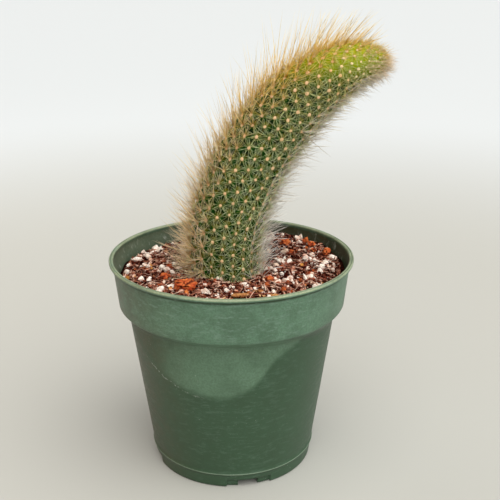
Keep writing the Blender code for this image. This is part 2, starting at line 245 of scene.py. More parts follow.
@dataclass
class Strands:
    """Many tapered hairs, one row of each array for a hair.

    Attributes:
        roots: where each hair starts.
        ways: unit direction in which it starts.
        bends: how far its tip is carried aside, as a share of its length.
        lengths: its length in metres.
        radii: its radius at the root in metres.
        shades: 0 to 1, its place across the bake map, which sets its colour.
    """

    roots: np.ndarray
    ways: np.ndarray
    bends: np.ndarray
    lengths: np.ndarray
    radii: np.ndarray
    shades: np.ndarray

    SHADE_WIDTH = 0.004
    TAPER = 2.6
    CEILING = 194.5 * MM

    def fitted(self) -> np.ndarray:
        """Give every hair's length, shortened where its tip would pass the ceiling."""
        climb = (self.ways + self.bends)[:, 2] * self.lengths
        room = (self.CEILING - self.roots[:, 2]) * (0.85 + 0.15 * self.shades)
        return self.lengths * np.minimum(1.0, room / np.maximum(climb, 0.1 * MM))

    def patch(self, rings: int) -> Patch:
        """Sweep a three-sided section along every hair's curve at once.

        Formula: point = root + length * (way * t + bend * t * t), and the section's radius falls
        as one minus t to the taper's power, down to a point at t = 1.

        Args:
            rings: three-sided sections along a hair, not counting its tip.

        Returns:
            All hairs as one patch of closed spikes.
        """
        count = len(self.roots)
        along = np.linspace(0.0, 1.0, rings + 1)
        path = (self.ways[:, None] * along[:, None] + self.bends[:, None] * along[:, None] ** 2)
        path = self.roots[:, None] + path * self.fitted()[:, None, None]
        helper = np.where(np.abs(self.ways[:, 2:]) > 0.9, (1.0, 0.0, 0.0), (0.0, 0.0, 1.0))
        side = unit(np.cross(self.ways, helper))
        other = np.cross(self.ways, side)
        angles = TURN * np.arange(3) / 3.0
        section = (side[:, None] * np.cos(angles)[:, None] + other[:, None] * np.sin(angles)[:, None])
        reach = self.radii[:, None] * (1.0 - along[:-1] ** self.TAPER)
        body = path[:, :-1, None] + section[:, None] * reach[:, :, None, None]
        points = np.concatenate([body.reshape(count, -1, 3), path[:, -1:]], axis=1)
        quads, tips, root = self.template(rings)
        shift = (np.arange(count) * points.shape[1])[:, None, None]
        faces = [(quads + shift).reshape(-1, 4), (tips + shift).reshape(-1, 3),
                 (root + shift).reshape(-1, 3)]
        return Patch(points.reshape(-1, 3), faces, self.places(along))

    @staticmethod
    def template(rings: int) -> tuple[np.ndarray, np.ndarray, np.ndarray]:
        """Number one hair's side quads, tip triangles and root triangle."""
        ring, side = np.meshgrid(np.arange(rings - 1), np.arange(3), indexing="ij")
        beside = (side + 1) % 3
        quads = np.stack([3 * ring + side, 3 * ring + beside,
                          3 * ring + 3 + beside, 3 * ring + 3 + side], axis=-1).reshape(-1, 4)
        last = 3 * (rings - 1)
        tips = np.array([(last, last + 1, last + 3), (last + 1, last + 2, last + 3),
                         (last + 2, last, last + 3)])
        return quads, tips, np.array([(2, 1, 0)])

    def places(self, along: np.ndarray) -> np.ndarray:
        """Place every face corner on the bake map: u by the hair's shade, v along the hair."""
        rings = len(along) - 1
        count = len(self.shades)
        width = self.SHADE_WIDTH
        span = np.array((-width, width, width, -width))
        low, high = np.repeat(along[:-2], 3), np.repeat(along[1:-1], 3)
        quad_v = np.stack([low, low, high, high], axis=-1)
        quad_uv = np.stack([np.tile(span, (len(low), 1)), quad_v], axis=-1)
        tip_uv = np.tile(np.array([(-width, along[rings - 1]), (width, along[rings - 1]),
                                   (0.0, 1.0)]), (3, 1, 1))
        root_uv = np.array([[(-width, 0.0), (width, 0.0), (0.0, 0.02)]])
        blocks = []
        for block in (quad_uv, tip_uv, root_uv):
            placed = np.tile(block.reshape(1, -1, 2), (count, 1, 1))
            placed[:, :, 0] += width + self.shades[:, None] * (1.0 - 2.0 * width)
            blocks.append(placed.reshape(-1, 2))
        return np.concatenate(blocks)


@dataclass
class Grains:
    """Many small rough lumps or flakes, one row of each array for a grain.

    Attributes:
        centres: the middle of each grain.
        halves: its half sizes along its own three directions.
        turns: its own three directions, as the columns of a 3 by 3 matrix.
        shades: 0 to 1, its place across the bake map, which sets its colour.
    """

    centres: np.ndarray
    halves: np.ndarray
    turns: np.ndarray
    shades: np.ndarray

    SHADE_WIDTH = 0.012

    def patch(self, rows: int, columns: int, roughness: float, rng: np.random.Generator) -> Patch:
        """Copy one low-faced ball to every grain and push its points in and out at random.

        Formula: point = centre + turn * (half * ball point * (1 + roughness * random)).

        Args:
            rows: rings of points between the two poles.
            columns: points round each ring.
            roughness: the largest random push, as a share of the radius.
            rng: the source of the random pushes.

        Returns:
            All grains as one patch.
        """
        ball = unit_ball(rows, columns)
        count, corners = len(self.centres), len(ball.points)
        push = 1.0 + roughness * rng.uniform(-1.0, 1.0, (count, corners, 1))
        local = ball.points[None] * push * self.halves[:, None]
        points = self.centres[:, None] + np.einsum("nij,nkj->nki", self.turns, local)
        shift = (np.arange(count) * corners)[:, None, None]
        faces = [(block[None] + shift).reshape(-1, block.shape[1]) for block in ball.faces]
        sizes = [block.size for block in ball.faces]
        blocks = np.split(ball.uv, np.cumsum(sizes)[:-1])
        placed = []
        for block in blocks:
            uv = np.tile(block[None], (count, 1, 1))
            uv[:, :, 0] = (uv[:, :, 0] - 0.5) * 2.0 * self.SHADE_WIDTH
            uv[:, :, 0] += self.SHADE_WIDTH + self.shades[:, None] * (1.0 - 2.0 * self.SHADE_WIDTH)
            placed.append(uv.reshape(-1, 2))
        return Patch(points.reshape(-1, 3), faces, np.concatenate(placed))


def unit_ball(rows: int, columns: int) -> Patch:
    """Make a ball of radius 1 from rings of latitude, with a pole below and above."""
    latitude = np.pi * (np.arange(1, rows + 1) / (rows + 1) - 0.5)
    longitude = TURN * np.arange(columns) / columns
    grid = np.stack([np.cos(latitude)[:, None] * np.cos(longitude),
                     np.cos(latitude)[:, None] * np.sin(longitude),
                     np.sin(latitude)[:, None] * np.ones(columns)], axis=-1)
    return turned_patch(grid, np.array((0.0, 0.0, -1.0)), np.array((0.0, 0.0, 1.0)))


def random_turns(count: int, tilt: float, rng: np.random.Generator) -> np.ndarray:
    """Turn grains freely about the vertical and tip them a little.

    Args:
        count: how many turns to make.
        tilt: the standard deviation of the tipping angle, in radians.
        rng: the source of the random angles.

    Returns:
        count rotation matrices.
    """
    turn = rng.uniform(0.0, TURN, count)
    tip, roll = rng.normal(0.0, tilt, (2, count))
    zero, one = np.zeros(count), np.ones(count)
    about_z = np.stack([np.cos(turn), -np.sin(turn), zero, np.sin(turn), np.cos(turn), zero,
                        zero, zero, one], axis=-1).reshape(-1, 3, 3)
    about_y = np.stack([np.cos(tip), zero, np.sin(tip), zero, one, zero,
                        -np.sin(tip), zero, np.cos(tip)], axis=-1).reshape(-1, 3, 3)
    about_x = np.stack([one, zero, zero, zero, np.cos(roll), -np.sin(roll),
                        zero, np.sin(roll), np.cos(roll)], axis=-1).reshape(-1, 3, 3)
    return about_z @ about_y @ about_x


class Slot(Enum):
    """Names of the record's material slots; each stone keeps one."""

    POT = "pot_green"
    SOIL = "potting_mix"
    SKIN = "cactus_skin"
    LAVA = "lava_rock"
    PERLITE = "perlite"
    BARK = "bark_chip"
    CHARCOAL = "charcoal"
    FELT = "areole_felt"
    GOLD = "golden_bristles"
    PALE = "pale_spines"


Colour = tuple[float, float, float]


class NodeSheet:
    """A material's node tree, with a short method for each kind of node that the finishes use."""

    def __init__(self, name: str, roughness: float, gloss: float = 0.5) -> None:
        """Start a material with its Principled shader.

        Args:
            name: the material's name.
            roughness: the shader's plain roughness.
            gloss: the shader's specular level.
        """
        self.material = bpy.data.materials.new(name)
        self.material.use_nodes = True
        self.tree = self.material.node_tree
        self.shader = self.tree.nodes["Principled BSDF"]
        self.shader.inputs["Roughness"].default_value = roughness
        self.shader.inputs["Specular IOR Level"].default_value = gloss
        self.place = self.tree.nodes.new("ShaderNodeTexCoord").outputs["Object"]

    def link(self, source: bpy.types.NodeSocket, node: bpy.types.Node, socket: str | int) -> None:
        """Join an output to a node's input."""
        self.tree.links.new(source, node.inputs[socket])

    def feed(self, node: bpy.types.Node, socket: str | int, value: object) -> None:
        """Set an input to a number or a colour, or join an output to it."""
        if isinstance(value, bpy.types.NodeSocket):
            self.link(value, node, socket)
        elif isinstance(value, tuple):
            node.inputs[socket].default_value = (*value, 1.0) if len(value) == 3 else value
        else:
            node.inputs[socket].default_value = value

    def math(self, operation: str, first: object, second: object = 0.0,
             clamp: bool = False) -> bpy.types.NodeSocket:
        """Add a Math node and return its result."""
        node = self.tree.nodes.new("ShaderNodeMath")
        node.operation = operation
        node.use_clamp = clamp
        self.feed(node, 0, first)
        self.feed(node, 1, second)
        return node.outputs[0]

    def span(self, value: object, low: float, high: float, to_low: float = 0.0,
             to_high: float = 1.0) -> bpy.types.NodeSocket:
        """Map a value from low..high to to_low..to_high with a smooth step, held at the ends."""
        node = self.tree.nodes.new("ShaderNodeMapRange")
        node.interpolation_type = "SMOOTHSTEP"
        for socket, number in (("Value", value), ("From Min", low), ("From Max", high),
                               ("To Min", to_low), ("To Max", to_high)):
            self.feed(node, socket, number)
        return node.outputs[0]

    def noise(self, size: float, detail: float = 3.0, roughness: float = 0.55,
              stretch: tuple[float, float, float] = (1.0, 1.0, 1.0),
              shift: float = 0.0) -> bpy.types.NodeSocket:
        """Add noise on Object coordinates.

        Args:
            size: width of a lump in metres.
            detail: how many finer layers it has.
            roughness: how strong those layers are.
            stretch: scale along x, y and z.
            shift: moves the pattern, so that two of one size differ.

        Returns:
            The noise's factor, from 0 to 1.
        """
        mapping = self.tree.nodes.new("ShaderNodeMapping")
        mapping.inputs["Location"].default_value = (shift, shift, shift)
        mapping.inputs["Scale"].default_value = stretch
        self.link(self.place, mapping, "Vector")
        node = self.tree.nodes.new("ShaderNodeTexNoise")
        self.link(mapping.outputs[0], node, "Vector")
        node.inputs["Scale"].default_value = 1.0 / size
        node.inputs["Detail"].default_value = detail
        node.inputs["Roughness"].default_value = roughness
        return node.outputs[0]

    def cells(self, size: float) -> bpy.types.NodeSocket:
        """Add Voronoi cells of a size in metres and return the distance to their middles."""
        node = self.tree.nodes.new("ShaderNodeTexVoronoi")
        self.link(self.place, node, "Vector")
        node.inputs["Scale"].default_value = 1.0 / size
        return node.outputs["Distance"]

    def flicker(self, place: bpy.types.NodeSocket, count: float) -> bpy.types.NodeSocket:
        """Give soft random light and dark along a value of 0 to 1, count times over its range."""
        node = self.tree.nodes.new("ShaderNodeTexNoise")
        node.noise_dimensions = "1D"
        self.link(place, node, "W")
        node.inputs["Scale"].default_value = count
        node.inputs["Detail"].default_value = 1.0
        return node.outputs[0]

    def mark(self, name: str) -> bpy.types.NodeSocket:
        """Read a value that the mesh holds for each vertex."""
        node = self.tree.nodes.new("ShaderNodeAttribute")
        node.attribute_name = name
        return node.outputs["Fac"]

    def map_place(self) -> tuple[bpy.types.NodeSocket, bpy.types.NodeSocket]:
        """Read u and v of the piece's own map."""
        node = self.tree.nodes.new("ShaderNodeUVMap")
        node.uv_map = BAKE_MAP
        split = self.tree.nodes.new("ShaderNodeSeparateXYZ")
        self.link(node.outputs[0], split, 0)
        return split.outputs[0], split.outputs[1]

    def axis(self, index: int) -> bpy.types.NodeSocket:
        """Read one Object coordinate: 0 for x, 1 for y and 2 for z."""
        split = self.tree.nodes.new("ShaderNodeSeparateXYZ")
        self.link(self.place, split, 0)
        return split.outputs[index]

    def mix(self, share: object, first: object, second: object) -> bpy.types.NodeSocket:
        """Mix two colours by a share."""
        node = self.tree.nodes.new("ShaderNodeMix")
        node.data_type = "RGBA"
        self.feed(node, 0, share)
        self.feed(node, 6, first)
        self.feed(node, 7, second)
        return node.outputs[2]

    def ramp(self, share: bpy.types.NodeSocket,
             stops: tuple[tuple[float, Colour], ...]) -> bpy.types.NodeSocket:
        """Turn a value into a colour through stops of (place, colour)."""
        node = self.tree.nodes.new("ShaderNodeValToRGB")
        self.link(share, node, 0)
        elements = node.color_ramp.elements
        while len(elements) < len(stops):
            elements.new(0.5)
        for element, (place, colour) in zip(elements, stops):
            element.position = place
            element.color = (*colour, 1.0)
        return node.outputs[0]

    def colour(self, source: object) -> None:
        """Give the shader its base colour."""
        self.feed(self.shader, "Base Color", source)

    def roughness(self, source: object) -> None:
        """Give the shader its roughness."""
        self.feed(self.shader, "Roughness", source)

    def bump(self, height: bpy.types.NodeSocket, depth: float, strength: float = 1.0) -> None:
        """Raise the surface's shading by a height from 0 to 1 times a depth in metres."""
        node = self.tree.nodes.new("ShaderNodeBump")
        node.inputs["Strength"].default_value = strength
        node.inputs["Distance"].default_value = depth
        self.link(height, node, "Height")
        self.link(node.outputs[0], self.shader, "Normal")


@dataclass(frozen=True)
class StrandFinish:
    """Finish of hairs and spines: a colour along the hair for each end of the shade range."""

    name: str
    first: tuple[tuple[float, Colour], ...]
    last: tuple[tuple[float, Colour], ...]
    roughness: float = 0.5
    dimmest: float = 0.5  # brightness left to the darkest hairs

    def material(self) -> bpy.types.Material:
        """Make the material, whose colour follows the piece's own map."""
        sheet = NodeSheet(self.name, self.roughness, 0.08)
        shade, along = sheet.map_place()
        tone = sheet.mix(shade, sheet.ramp(along, self.first), sheet.ramp(along, self.last))
        dim = sheet.span(sheet.flicker(shade, 70.0), 0.38, 0.58, 1.0 - self.dimmest, 0.0)
        sheet.colour(sheet.mix(dim, tone, (0.06, 0.025, 0.004)))
        return sheet.material


@dataclass(frozen=True)
class GrainFinish:
    """Finish of small grains: a colour for each shade, darker underneath as painted shade."""

    name: str
    shades: tuple[tuple[float, Colour], ...]
    # share of a grain's own colour kept at its underside; the rest is painted shade
    under: float = 0.55
    roughness: float = 0.85
    # colour of the painted shade under each grain
    below: Colour = (0.004, 0.002, 0.001)

    def material(self) -> bpy.types.Material:
        """Make the material, whose colour follows the piece's own map."""
        sheet = NodeSheet(self.name, self.roughness, 0.03)
        shade, up = sheet.map_place()
        colour = sheet.ramp(shade, self.shades)
        # painted shade towards the bottom of each grain
        dim = sheet.math("MULTIPLY", sheet.span(up, 0.0, 0.75, 1.0, 0.0), 1.0 - self.under)
        sheet.colour(sheet.mix(dim, colour, self.below))
        return sheet.material


@dataclass(frozen=True)
class StoneFinish:
    """Finish of a loose stone: two tones in patches, pores with painted shade, and a rough face."""

    name: str
    light: Colour
    dark: Colour
    # painted shade in the pores and pits
    pore_shade: Colour
    patch_size: float = 1.6 * MM
    pore_size: float = 0.55 * MM
    pore_depth: float = 0.25 * MM
    roughness: float = 0.9

    def material(self) -> bpy.types.Material:
        """Make the material from noise patches and Voronoi pores on Object coordinates."""
        sheet = NodeSheet(self.name, self.roughness, 0.2)
        patches = sheet.span(sheet.noise(self.patch_size, 4.0, 0.6), 0.35, 0.65)
        tone = sheet.mix(patches, self.light, self.dark)
        # painted shade in the pits and the pores
        tone = sheet.mix(sheet.mark("pit"), tone, self.pore_shade)
        pores = sheet.cells(self.pore_size)
        hollow = sheet.span(pores, 0.12, 0.42, 0.8, 0.0)
        sheet.colour(sheet.mix(hollow, tone, self.pore_shade))
        grain = sheet.noise(0.25 * MM, 3.0, 0.7)
        sheet.bump(sheet.math("ADD", sheet.math("MULTIPLY", pores, 0.7), grain), self.pore_depth)
        return sheet.material


@dataclass(frozen=True)
class SoilFinish:
    """Finish of the soil below the loose chips: dark, wet and crumbly, its near black partly painted
    shade in the gaps between them.
    """

    # near black: wet soil, and painted shade in the gaps between the chips
    light: Colour = (0.034, 0.006, 0.003)
    dark: Colour = (0.004, 0.0006, 0.0003)
    crumb: float = 1.1 * MM

    def material(self) -> bpy.types.Material:
        """Make the material from two sizes of noise on Object coordinates."""
        sheet = NodeSheet("damp_soil_and_gap_shade", 0.95, 0.03)
        crumbs = sheet.noise(self.crumb, 5.0, 0.7)
        sheet.colour(sheet.mix(sheet.span(crumbs, 0.38, 0.66), self.dark, self.light))
        sheet.bump(crumbs, 0.8 * MM)
        return sheet.material


@dataclass(frozen=True)
class SkinFinish:
    """Finish of the column's skin: dark green, golden by the areoles and bright at the tip."""

    # painted shade in the valleys between the tubercles
    valley_shade: Colour = (0.001, 0.009, 0.001)
    green: Colour = (0.014, 0.110, 0.008)
    olive: Colour = (0.130, 0.120, 0.004)
    # painted contact shade at the column's foot, with soil dirt
    earth_and_shade: Colour = (0.030, 0.014, 0.005)
    bright: Colour = (0.300, 0.380, 0.001)

    def material(self) -> bpy.types.Material:
        """Make the material from the skin's marks: ridge, spot, youth and soiled."""
        sheet = NodeSheet("cactus_skin", 0.5, 0.05)
        mottle = sheet.noise(1.3 * MM, 3.0, 0.6)
        # the valleys between the tubercles take painted shade
        base = sheet.mix(sheet.math("ADD", sheet.mark("ridge"), sheet.math("SUBTRACT", mottle, 0.5),
                                    clamp=True), self.valley_shade, self.green)
        spots = sheet.math("MULTIPLY", sheet.mark("spot"), sheet.span(mottle, 0.3, 0.7, 0.45, 1.0))
        base = sheet.mix(spots, base, self.olive)
        base = sheet.mix(sheet.mark("youth"), base, self.bright)
        # the foot darkened: painted contact shade, with soil dirt
        sheet.colour(sheet.mix(sheet.mark("foot_shade_and_dirt"), base, self.earth_and_shade))
        sheet.roughness(sheet.span(mottle, 0.3, 0.7, 0.42, 0.6))
        sheet.bump(sheet.noise(0.35 * MM, 3.0, 0.6), 0.08 * MM)
        return sheet.material


@dataclass(frozen=True)
class PotFinish:
    """Finish of the moulded pot: mid-green plastic, scuffed and dusty where it is handled, with painted
    light and shade.
    """

    # the body's darker tone is painted shade under the collar's overhang; the collar's paler tone is
    # painted light
    body: Colour = (0.034, 0.080, 0.040)
    collar: Colour = (0.110, 0.210, 0.132)
    # stress-whitened dent, made paler still as painted light where its face tilts up to the light
    dent_whitened_and_lit: Colour = (0.105, 0.190, 0.118)
    # painted highlight along the top of the lip bead
    rim: Colour = (0.330, 0.390, 0.240)
    # painted highlight along the ledge's upper edge
    edge: Colour = (0.300, 0.400, 0.290)
    # the pot's left side browner and darker: painted shade and warm reflection, with some soil staining
    earth_and_shade: Colour = (0.085, 0.070, 0.034)
    # painted shade: a dark band under the lip's overhang and in the groove round its top
    line: Colour = (0.022, 0.050, 0.020)
    scuff: Colour = (0.200, 0.300, 0.235)
    dust: Colour = (0.520, 0.560, 0.500)
    shade: Colour = (0.030, 0.062, 0.030)
    inside: Colour = (0.115, 0.150, 0.095)
    # the inner wall darker and browner towards +X
    right_wall_dark: Colour = (0.040, 0.038, 0.016)
    roughness: float = 0.42

    def tone(self, sheet: NodeSheet) -> bpy.types.NodeSocket:
        """Mix the plastic's colours by the marks of collar, dent, lip and inner wall, with painted
        light and shade among them.
        """
        # painted shade on the body under the collar, painted light on the collar
        tone = sheet.mix(sheet.mark("collar"), self.body, self.collar)
        # the dent paler: stress whitening and painted light
        tone = sheet.mix(sheet.mark("dent"), tone, self.dent_whitened_and_lit)
        # painted shade and warm reflection on the left side, with some soil staining
        veil = sheet.math("MULTIPLY", sheet.mark("stain_and_shade"),
                          sheet.span(sheet.noise(6.0 * MM, 4.0, 0.65, shift=0.8), 0.3, 0.66, 0.3, 0.85))
        tone = sheet.mix(veil, tone, self.earth_and_shade)
        # the inner wall turns darker and browner towards +X
        rightward = sheet.math("ADD", sheet.axis(0), sheet.math("MULTIPLY", sheet.noise(9.0 * MM), 0.02))
        wall = sheet.mix(sheet.span(rightward, -0.030, 0.012), self.inside, self.right_wall_dark)
        tone = sheet.mix(sheet.mark("inside"), tone, wall)
        # painted highlight on the lip's top
        tone = sheet.mix(sheet.mark("lip"), tone, self.rim)
        # painted shade under the lip and in the groove on its top
        tone = sheet.mix(sheet.mark("lip_shade"), tone, self.line)
        # painted highlight on the ledge's upper edge
        return sheet.mix(sheet.mark("ledge"), tone, self.edge)

    def scratch(self, sheet: NodeSheet) -> bpy.types.NodeSocket:
        """Whiten a broken thin line that follows the dent's crease on its left."""
        wobble = sheet.math("MULTIPLY", sheet.math("SUBTRACT", sheet.noise(3.0 * MM), 0.5), 3.0)
        away = sheet.math("ABSOLUTE", sheet.math("ADD", sheet.mark("rise"), wobble))
        line = sheet.span(away, 0.1, 0.55, 1.0, 0.0)
        broken = sheet.span(sheet.noise(1.3 * MM, 4.0, 0.7, shift=0.4), 0.44, 0.6)
        return sheet.math("MULTIPLY", sheet.math("MULTIPLY", line, broken), sheet.mark("creased"))

    def material(self) -> bpy.types.Material:
        """Make the material: tone, then clouds, scuffs along the wall, specks and the scratch."""
        sheet = NodeSheet("pot_green", self.roughness, 0.4)
        clouds = sheet.noise(11.0 * MM, 4.0, 0.6)
        grain = sheet.noise(0.8 * MM, 4.0, 0.65, shift=0.2)
        colour = sheet.mix(sheet.span(clouds, 0.60, 0.34, 0.0, 0.34), self.tone(sheet), self.shade)
        colour = sheet.mix(sheet.span(grain, 0.60, 0.40, 0.0, 0.26), colour, self.shade)
        strokes = sheet.noise(3.4 * MM, 5.0, 0.72, (0.8, 0.8, 2.6), 0.07)
        rubbed = sheet.math("MULTIPLY", sheet.span(strokes, 0.48, 0.70, 0.0, 0.5),
                            sheet.span(sheet.mark("collar"), 0.0, 1.0, 0.3, 1.0))
        colour = sheet.mix(rubbed, colour, self.scuff)
        specks = sheet.span(sheet.noise(0.55 * MM, 2.0, 0.5, shift=0.3), 0.70, 0.76)
        dusty = sheet.math("MULTIPLY", specks, sheet.span(clouds, 0.5, 0.64, 0.05, 0.5))
        dusty = sheet.math("MAXIMUM", dusty, sheet.math("MULTIPLY", self.scratch(sheet), 0.5))
        smears = sheet.span(sheet.noise(2.2 * MM, 5.0, 0.7, (1.0, 1.0, 0.4), 0.5), 0.56, 0.72, 0, 0.5)
        dusty = sheet.math("MAXIMUM", dusty, sheet.math("MULTIPLY", smears, sheet.mark("inside")))
        sheet.colour(sheet.mix(dusty, colour, self.dust))
        sheet.roughness(sheet.span(strokes, 0.3, 0.75, 0.38, 0.58))
        sheet.bump(grain, 0.03 * MM)
        return sheet.material


def add_piece(name: str, patch: Patch, material: bpy.types.Material,
              replaces: tuple[str, ...] = (), smooth: bool = True) -> bpy.types.Object:
    """Make a patch an object of the part and tell the frame about it.

    Args:
        name: the piece's name.
        patch: its surface, in the row frame.
        material: its finish.
        replaces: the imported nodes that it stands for.
        smooth: whether it is shaded smooth.

    Returns:
        The new object.
    """
    mesh = patch.mesh(name, smooth)
    mesh.materials.append(material)
    piece = bpy.data.objects.new(name, mesh)
    bpy.context.scene.collection.objects.link(piece)
    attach(piece, BODY)
    if replaces:
        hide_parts(*replaces)
    LOG.info("%s: %d triangles", name, patch.triangles())
    return piece


@dataclass
class NurseryPot:
    """The round pot: a thin moulded shell with lip, collar, shoulder, dent and drain notches."""

    height: float = 93.0 * MM
    rim_radius: float = 52.0 * MM
    rim_height: float = 1.5 * MM
    wall: float = 1.2 * MM
    collar_top_radius: float = 50.5 * MM
    collar_foot_radius: float = 48.5 * MM
    collar_foot_height: float = 73.3 * MM
    shoulder_radius: float = 44.45 * MM
    shoulder_height: float = 68.4 * MM
    shoulder_bend: tuple[float, float] = (48.3 * MM, 72.5 * MM)
    foot_radius: float = 35.0 * MM
    ledge_height: float = 6.4 * MM
    ledge_depth: float = 0.5 * MM
    floor_lift: float = 3.6 * MM
    floor_thickness: float = 1.4 * MM
    foot_ring_width: float = 2.2 * MM
    pad_radius: float = 10.0 * MM
    notch_count: int = 4
    notch_height: float = 3.3 * MM
    recess_span: tuple[float, float] = (-94.7, -63.0)
    opening_span: tuple[float, float] = (-86.8, -72.4)
    recess_depth: float = 1.0 * MM
    drain_radii: tuple[float, float] = (25.8 * MM, 31.3 * MM)
    lip_inner: float = 50.1 * MM
    lip_taper: float = 7.0 * MM  # height over which the wall thins out up to the lip
    lip_groove: tuple[float, float] = (51.2 * MM, 0.28 * MM)  # radius and depth of a ring line
    dent_depth: float = 2.6 * MM
    dent_low: float = 44.5 * MM
    dent_edge_points: tuple[tuple[float, float], ...] = (  # degrees from +X, height in mm
        (-166.0, 68.4), (-150.0, 58.6), (-137.0, 52.8), (-125.0, 48.7), (-113.0, 46.0),
        (-101.0, 44.6), (-93.0, 44.6), (-83.0, 47.2), (-77.0, 50.5), (-71.5, 55.8),
        (-68.5, 60.0), (-64.0, 63.0), (-57.0, 65.2), (-50.0, 68.4))
    dent_softness: float = 2.5  # degrees over which the edge's corners are evened out
    crease: float = 1.2 * MM
    # the side with painted shade and warm reflection, and some soil staining
    stain_and_shade_side: float = -168.0  # degrees from +X
    stain_and_shade_reach: float = 62.0
    columns: int = 288
    edge_step: float = 0.04  # degrees between the two columns that make a notch's side
    row_step: float = 1.6 * MM

    def body_radius(self, height: np.ndarray) -> np.ndarray:
        """Give the outer radius of the straight tapered body at a height."""
        share = height / self.shoulder_height
        return self.foot_radius + (self.shoulder_radius - self.foot_radius) * share

    def angles(self) -> np.ndarray:
        """Space the columns evenly, with close pairs at the sides of every notch and drain."""
        even = np.linspace(-180.0, 180.0, self.columns, endpoint=False)
        spans = np.array([*self.recess_span, *self.opening_span, self.opening_span[0] + 1.0,
                          self.opening_span[1] - 1.0])
        turns = 360.0 / self.notch_count * np.arange(self.notch_count)
        edges = (spans[:, None] + turns).ravel()
        edges = np.concatenate([edges - self.edge_step, edges + self.edge_step])
        edges = (edges + 180.0) % 360.0 - 180.0
        clear = np.abs(even[:, None] - edges[None]).min(axis=1) > 4.0 * self.edge_step
        return np.radians(np.sort(np.concatenate([even[clear], edges])))

    def shoulder(self, inset: float) -> list[tuple[float, float]]:
        """Give the rounded shoulder as a quadratic curve from the body out to the collar's foot."""
        share = np.linspace(0.0, 1.0, 12)
        back = 1.0 - share
        radius = (self.shoulder_radius * back ** 2 + 2.0 * self.shoulder_bend[0] * back * share
                  + self.collar_foot_radius * share ** 2)
        height = (self.shoulder_height * back ** 2 + 2.0 * self.shoulder_bend[1] * back * share
                  + self.collar_foot_height * share ** 2)
        return list(zip(radius - inset, height))

    def profile(self) -> np.ndarray:
        """List the section from the pad under the floor, over the rim and down to the floor.

        Returns:
            Rows of (radius, height, inside), where inside is 1 on the inner face.
        """
        ring_inner = self.foot_radius - self.foot_ring_width
        ledge = float(self.body_radius(self.ledge_height))
        top = self.height - self.rim_height
        low, high = self.ledge_height + 1.0 * MM, self.shoulder_height
        rows = np.arange(low + self.row_step, high - 0.5 * self.row_step, self.row_step)
        outer = [(self.pad_radius - 0.4 * MM, 0.0), (self.pad_radius, 0.0),
                 (self.pad_radius + self.wall, self.floor_lift), (self.drain_radii[0], self.floor_lift),
                 (self.drain_radii[1], self.floor_lift), (ring_inner, self.floor_lift),
                 (ring_inner, 0.4 * MM), (ring_inner + 0.3 * MM, 0.0),
                 (self.foot_radius - 0.5 * MM, 0.0), (float(self.body_radius(0.4 * MM)), 0.4 * MM)]
        outer += [(float(self.body_radius(z)), z) for z in np.array((1.2, 2.2, 3.1, 3.6, 5.0)) * MM]
        outer += [(ledge, self.ledge_height), (ledge + 0.35 * MM, self.ledge_height + 0.1 * MM),
                  (ledge + self.ledge_depth, self.ledge_height + 0.35 * MM),
                  (ledge + 0.3 * MM, self.ledge_height + 0.65 * MM),
                  (ledge + 0.1 * MM, self.ledge_height + 1.0 * MM)]
        outer += [(float(self.body_radius(z)), z) for z in rows]
        outer += self.shoulder(0.0)
        share = np.linspace(0.0, 1.0, 9)[1:]
        collar_z = blend(self.collar_foot_height, top - 1.9 * MM, share)
        close_z = top - np.array((1.5, 1.2, 0.9, 0.6)) * MM
        outer += [(self.collar_radius(z), z) for z in (*collar_z, *close_z)]
        outer += self.lip_points(top)
        inner = [(self.inner_radius(z), z) for z in (close_z[-1], *collar_z[::-1])]
        inner += self.shoulder(self.wall)[::-1]
        inner += [(float(self.body_radius(z)) - self.wall, z) for z in rows[::-4]]
        floor_top = self.floor_lift + self.floor_thickness
        inner += [(float(self.body_radius(floor_top)) - self.wall, floor_top),
                  (self.drain_radii[1], floor_top), (self.drain_radii[0], floor_top),
                  (self.pad_radius, floor_top)]
        marks = [0.0] * len(outer) + [1.0] * len(inner)
        return np.array([(*point, mark) for point, mark in zip(outer + inner, marks)])

    def collar_radius(self, height: float) -> float:
        """Give the collar's outer radius at a height."""
        share = (height - self.collar_foot_height) / (self.height - self.rim_height
                                                      - self.collar_foot_height)
        return float(blend(self.collar_foot_radius, self.collar_top_radius, share))

    def inner_radius(self, height: float) -> float:
        """Give the collar's inner radius, where the wall thins out towards the lip."""
        full = self.collar_radius(height) - self.wall
        rise = (height - self.height + self.rim_height + self.lip_taper) / self.lip_taper
        return float(blend(full, self.lip_inner, smooth_step(np.array(rise))))

    def lip_points(self, top: float) -> list[tuple[float, float]]:
        """Give the lip bead: a flattened circle over the collar's edge, with a line round its top."""
        middle = (self.rim_radius + self.lip_inner) / 2.0
        half_width = self.rim_radius - middle
        half_height = 0.5 * self.rim_height
        centre = top + half_height
        turn = np.radians(np.linspace(-75.0, 205.0, 36))
        radius = middle + half_width * np.sign(np.cos(turn)) * np.abs(np.cos(turn)) ** 0.7
        height = centre + half_height * np.sin(turn)
        groove = np.where(height > centre, self.groove(radius), 0.0)
        return list(zip(radius, height - self.lip_groove[1] * groove))

    def groove(self, radius: np.ndarray) -> np.ndarray:
        """Give 1 in the line round the lip's top and 0 a third of a millimetre beside it."""
        return smooth_step(1.0 - np.abs(radius - self.lip_groove[0]) / (0.36 * MM))

    def dent_edge(self, angle: np.ndarray) -> np.ndarray:
        """Give the height of the dent's lower edge: the mean of its table over a short arc."""
        turn, height = np.array(self.dent_edge_points).T
        degrees = (np.degrees(angle) + 180.0) % 360.0 - 180.0
        offsets = self.dent_softness * np.linspace(-1.0, 1.0, 7)
        edge = np.interp(degrees[..., None] + offsets, turn, height).mean(axis=-1)
        return edge * MM

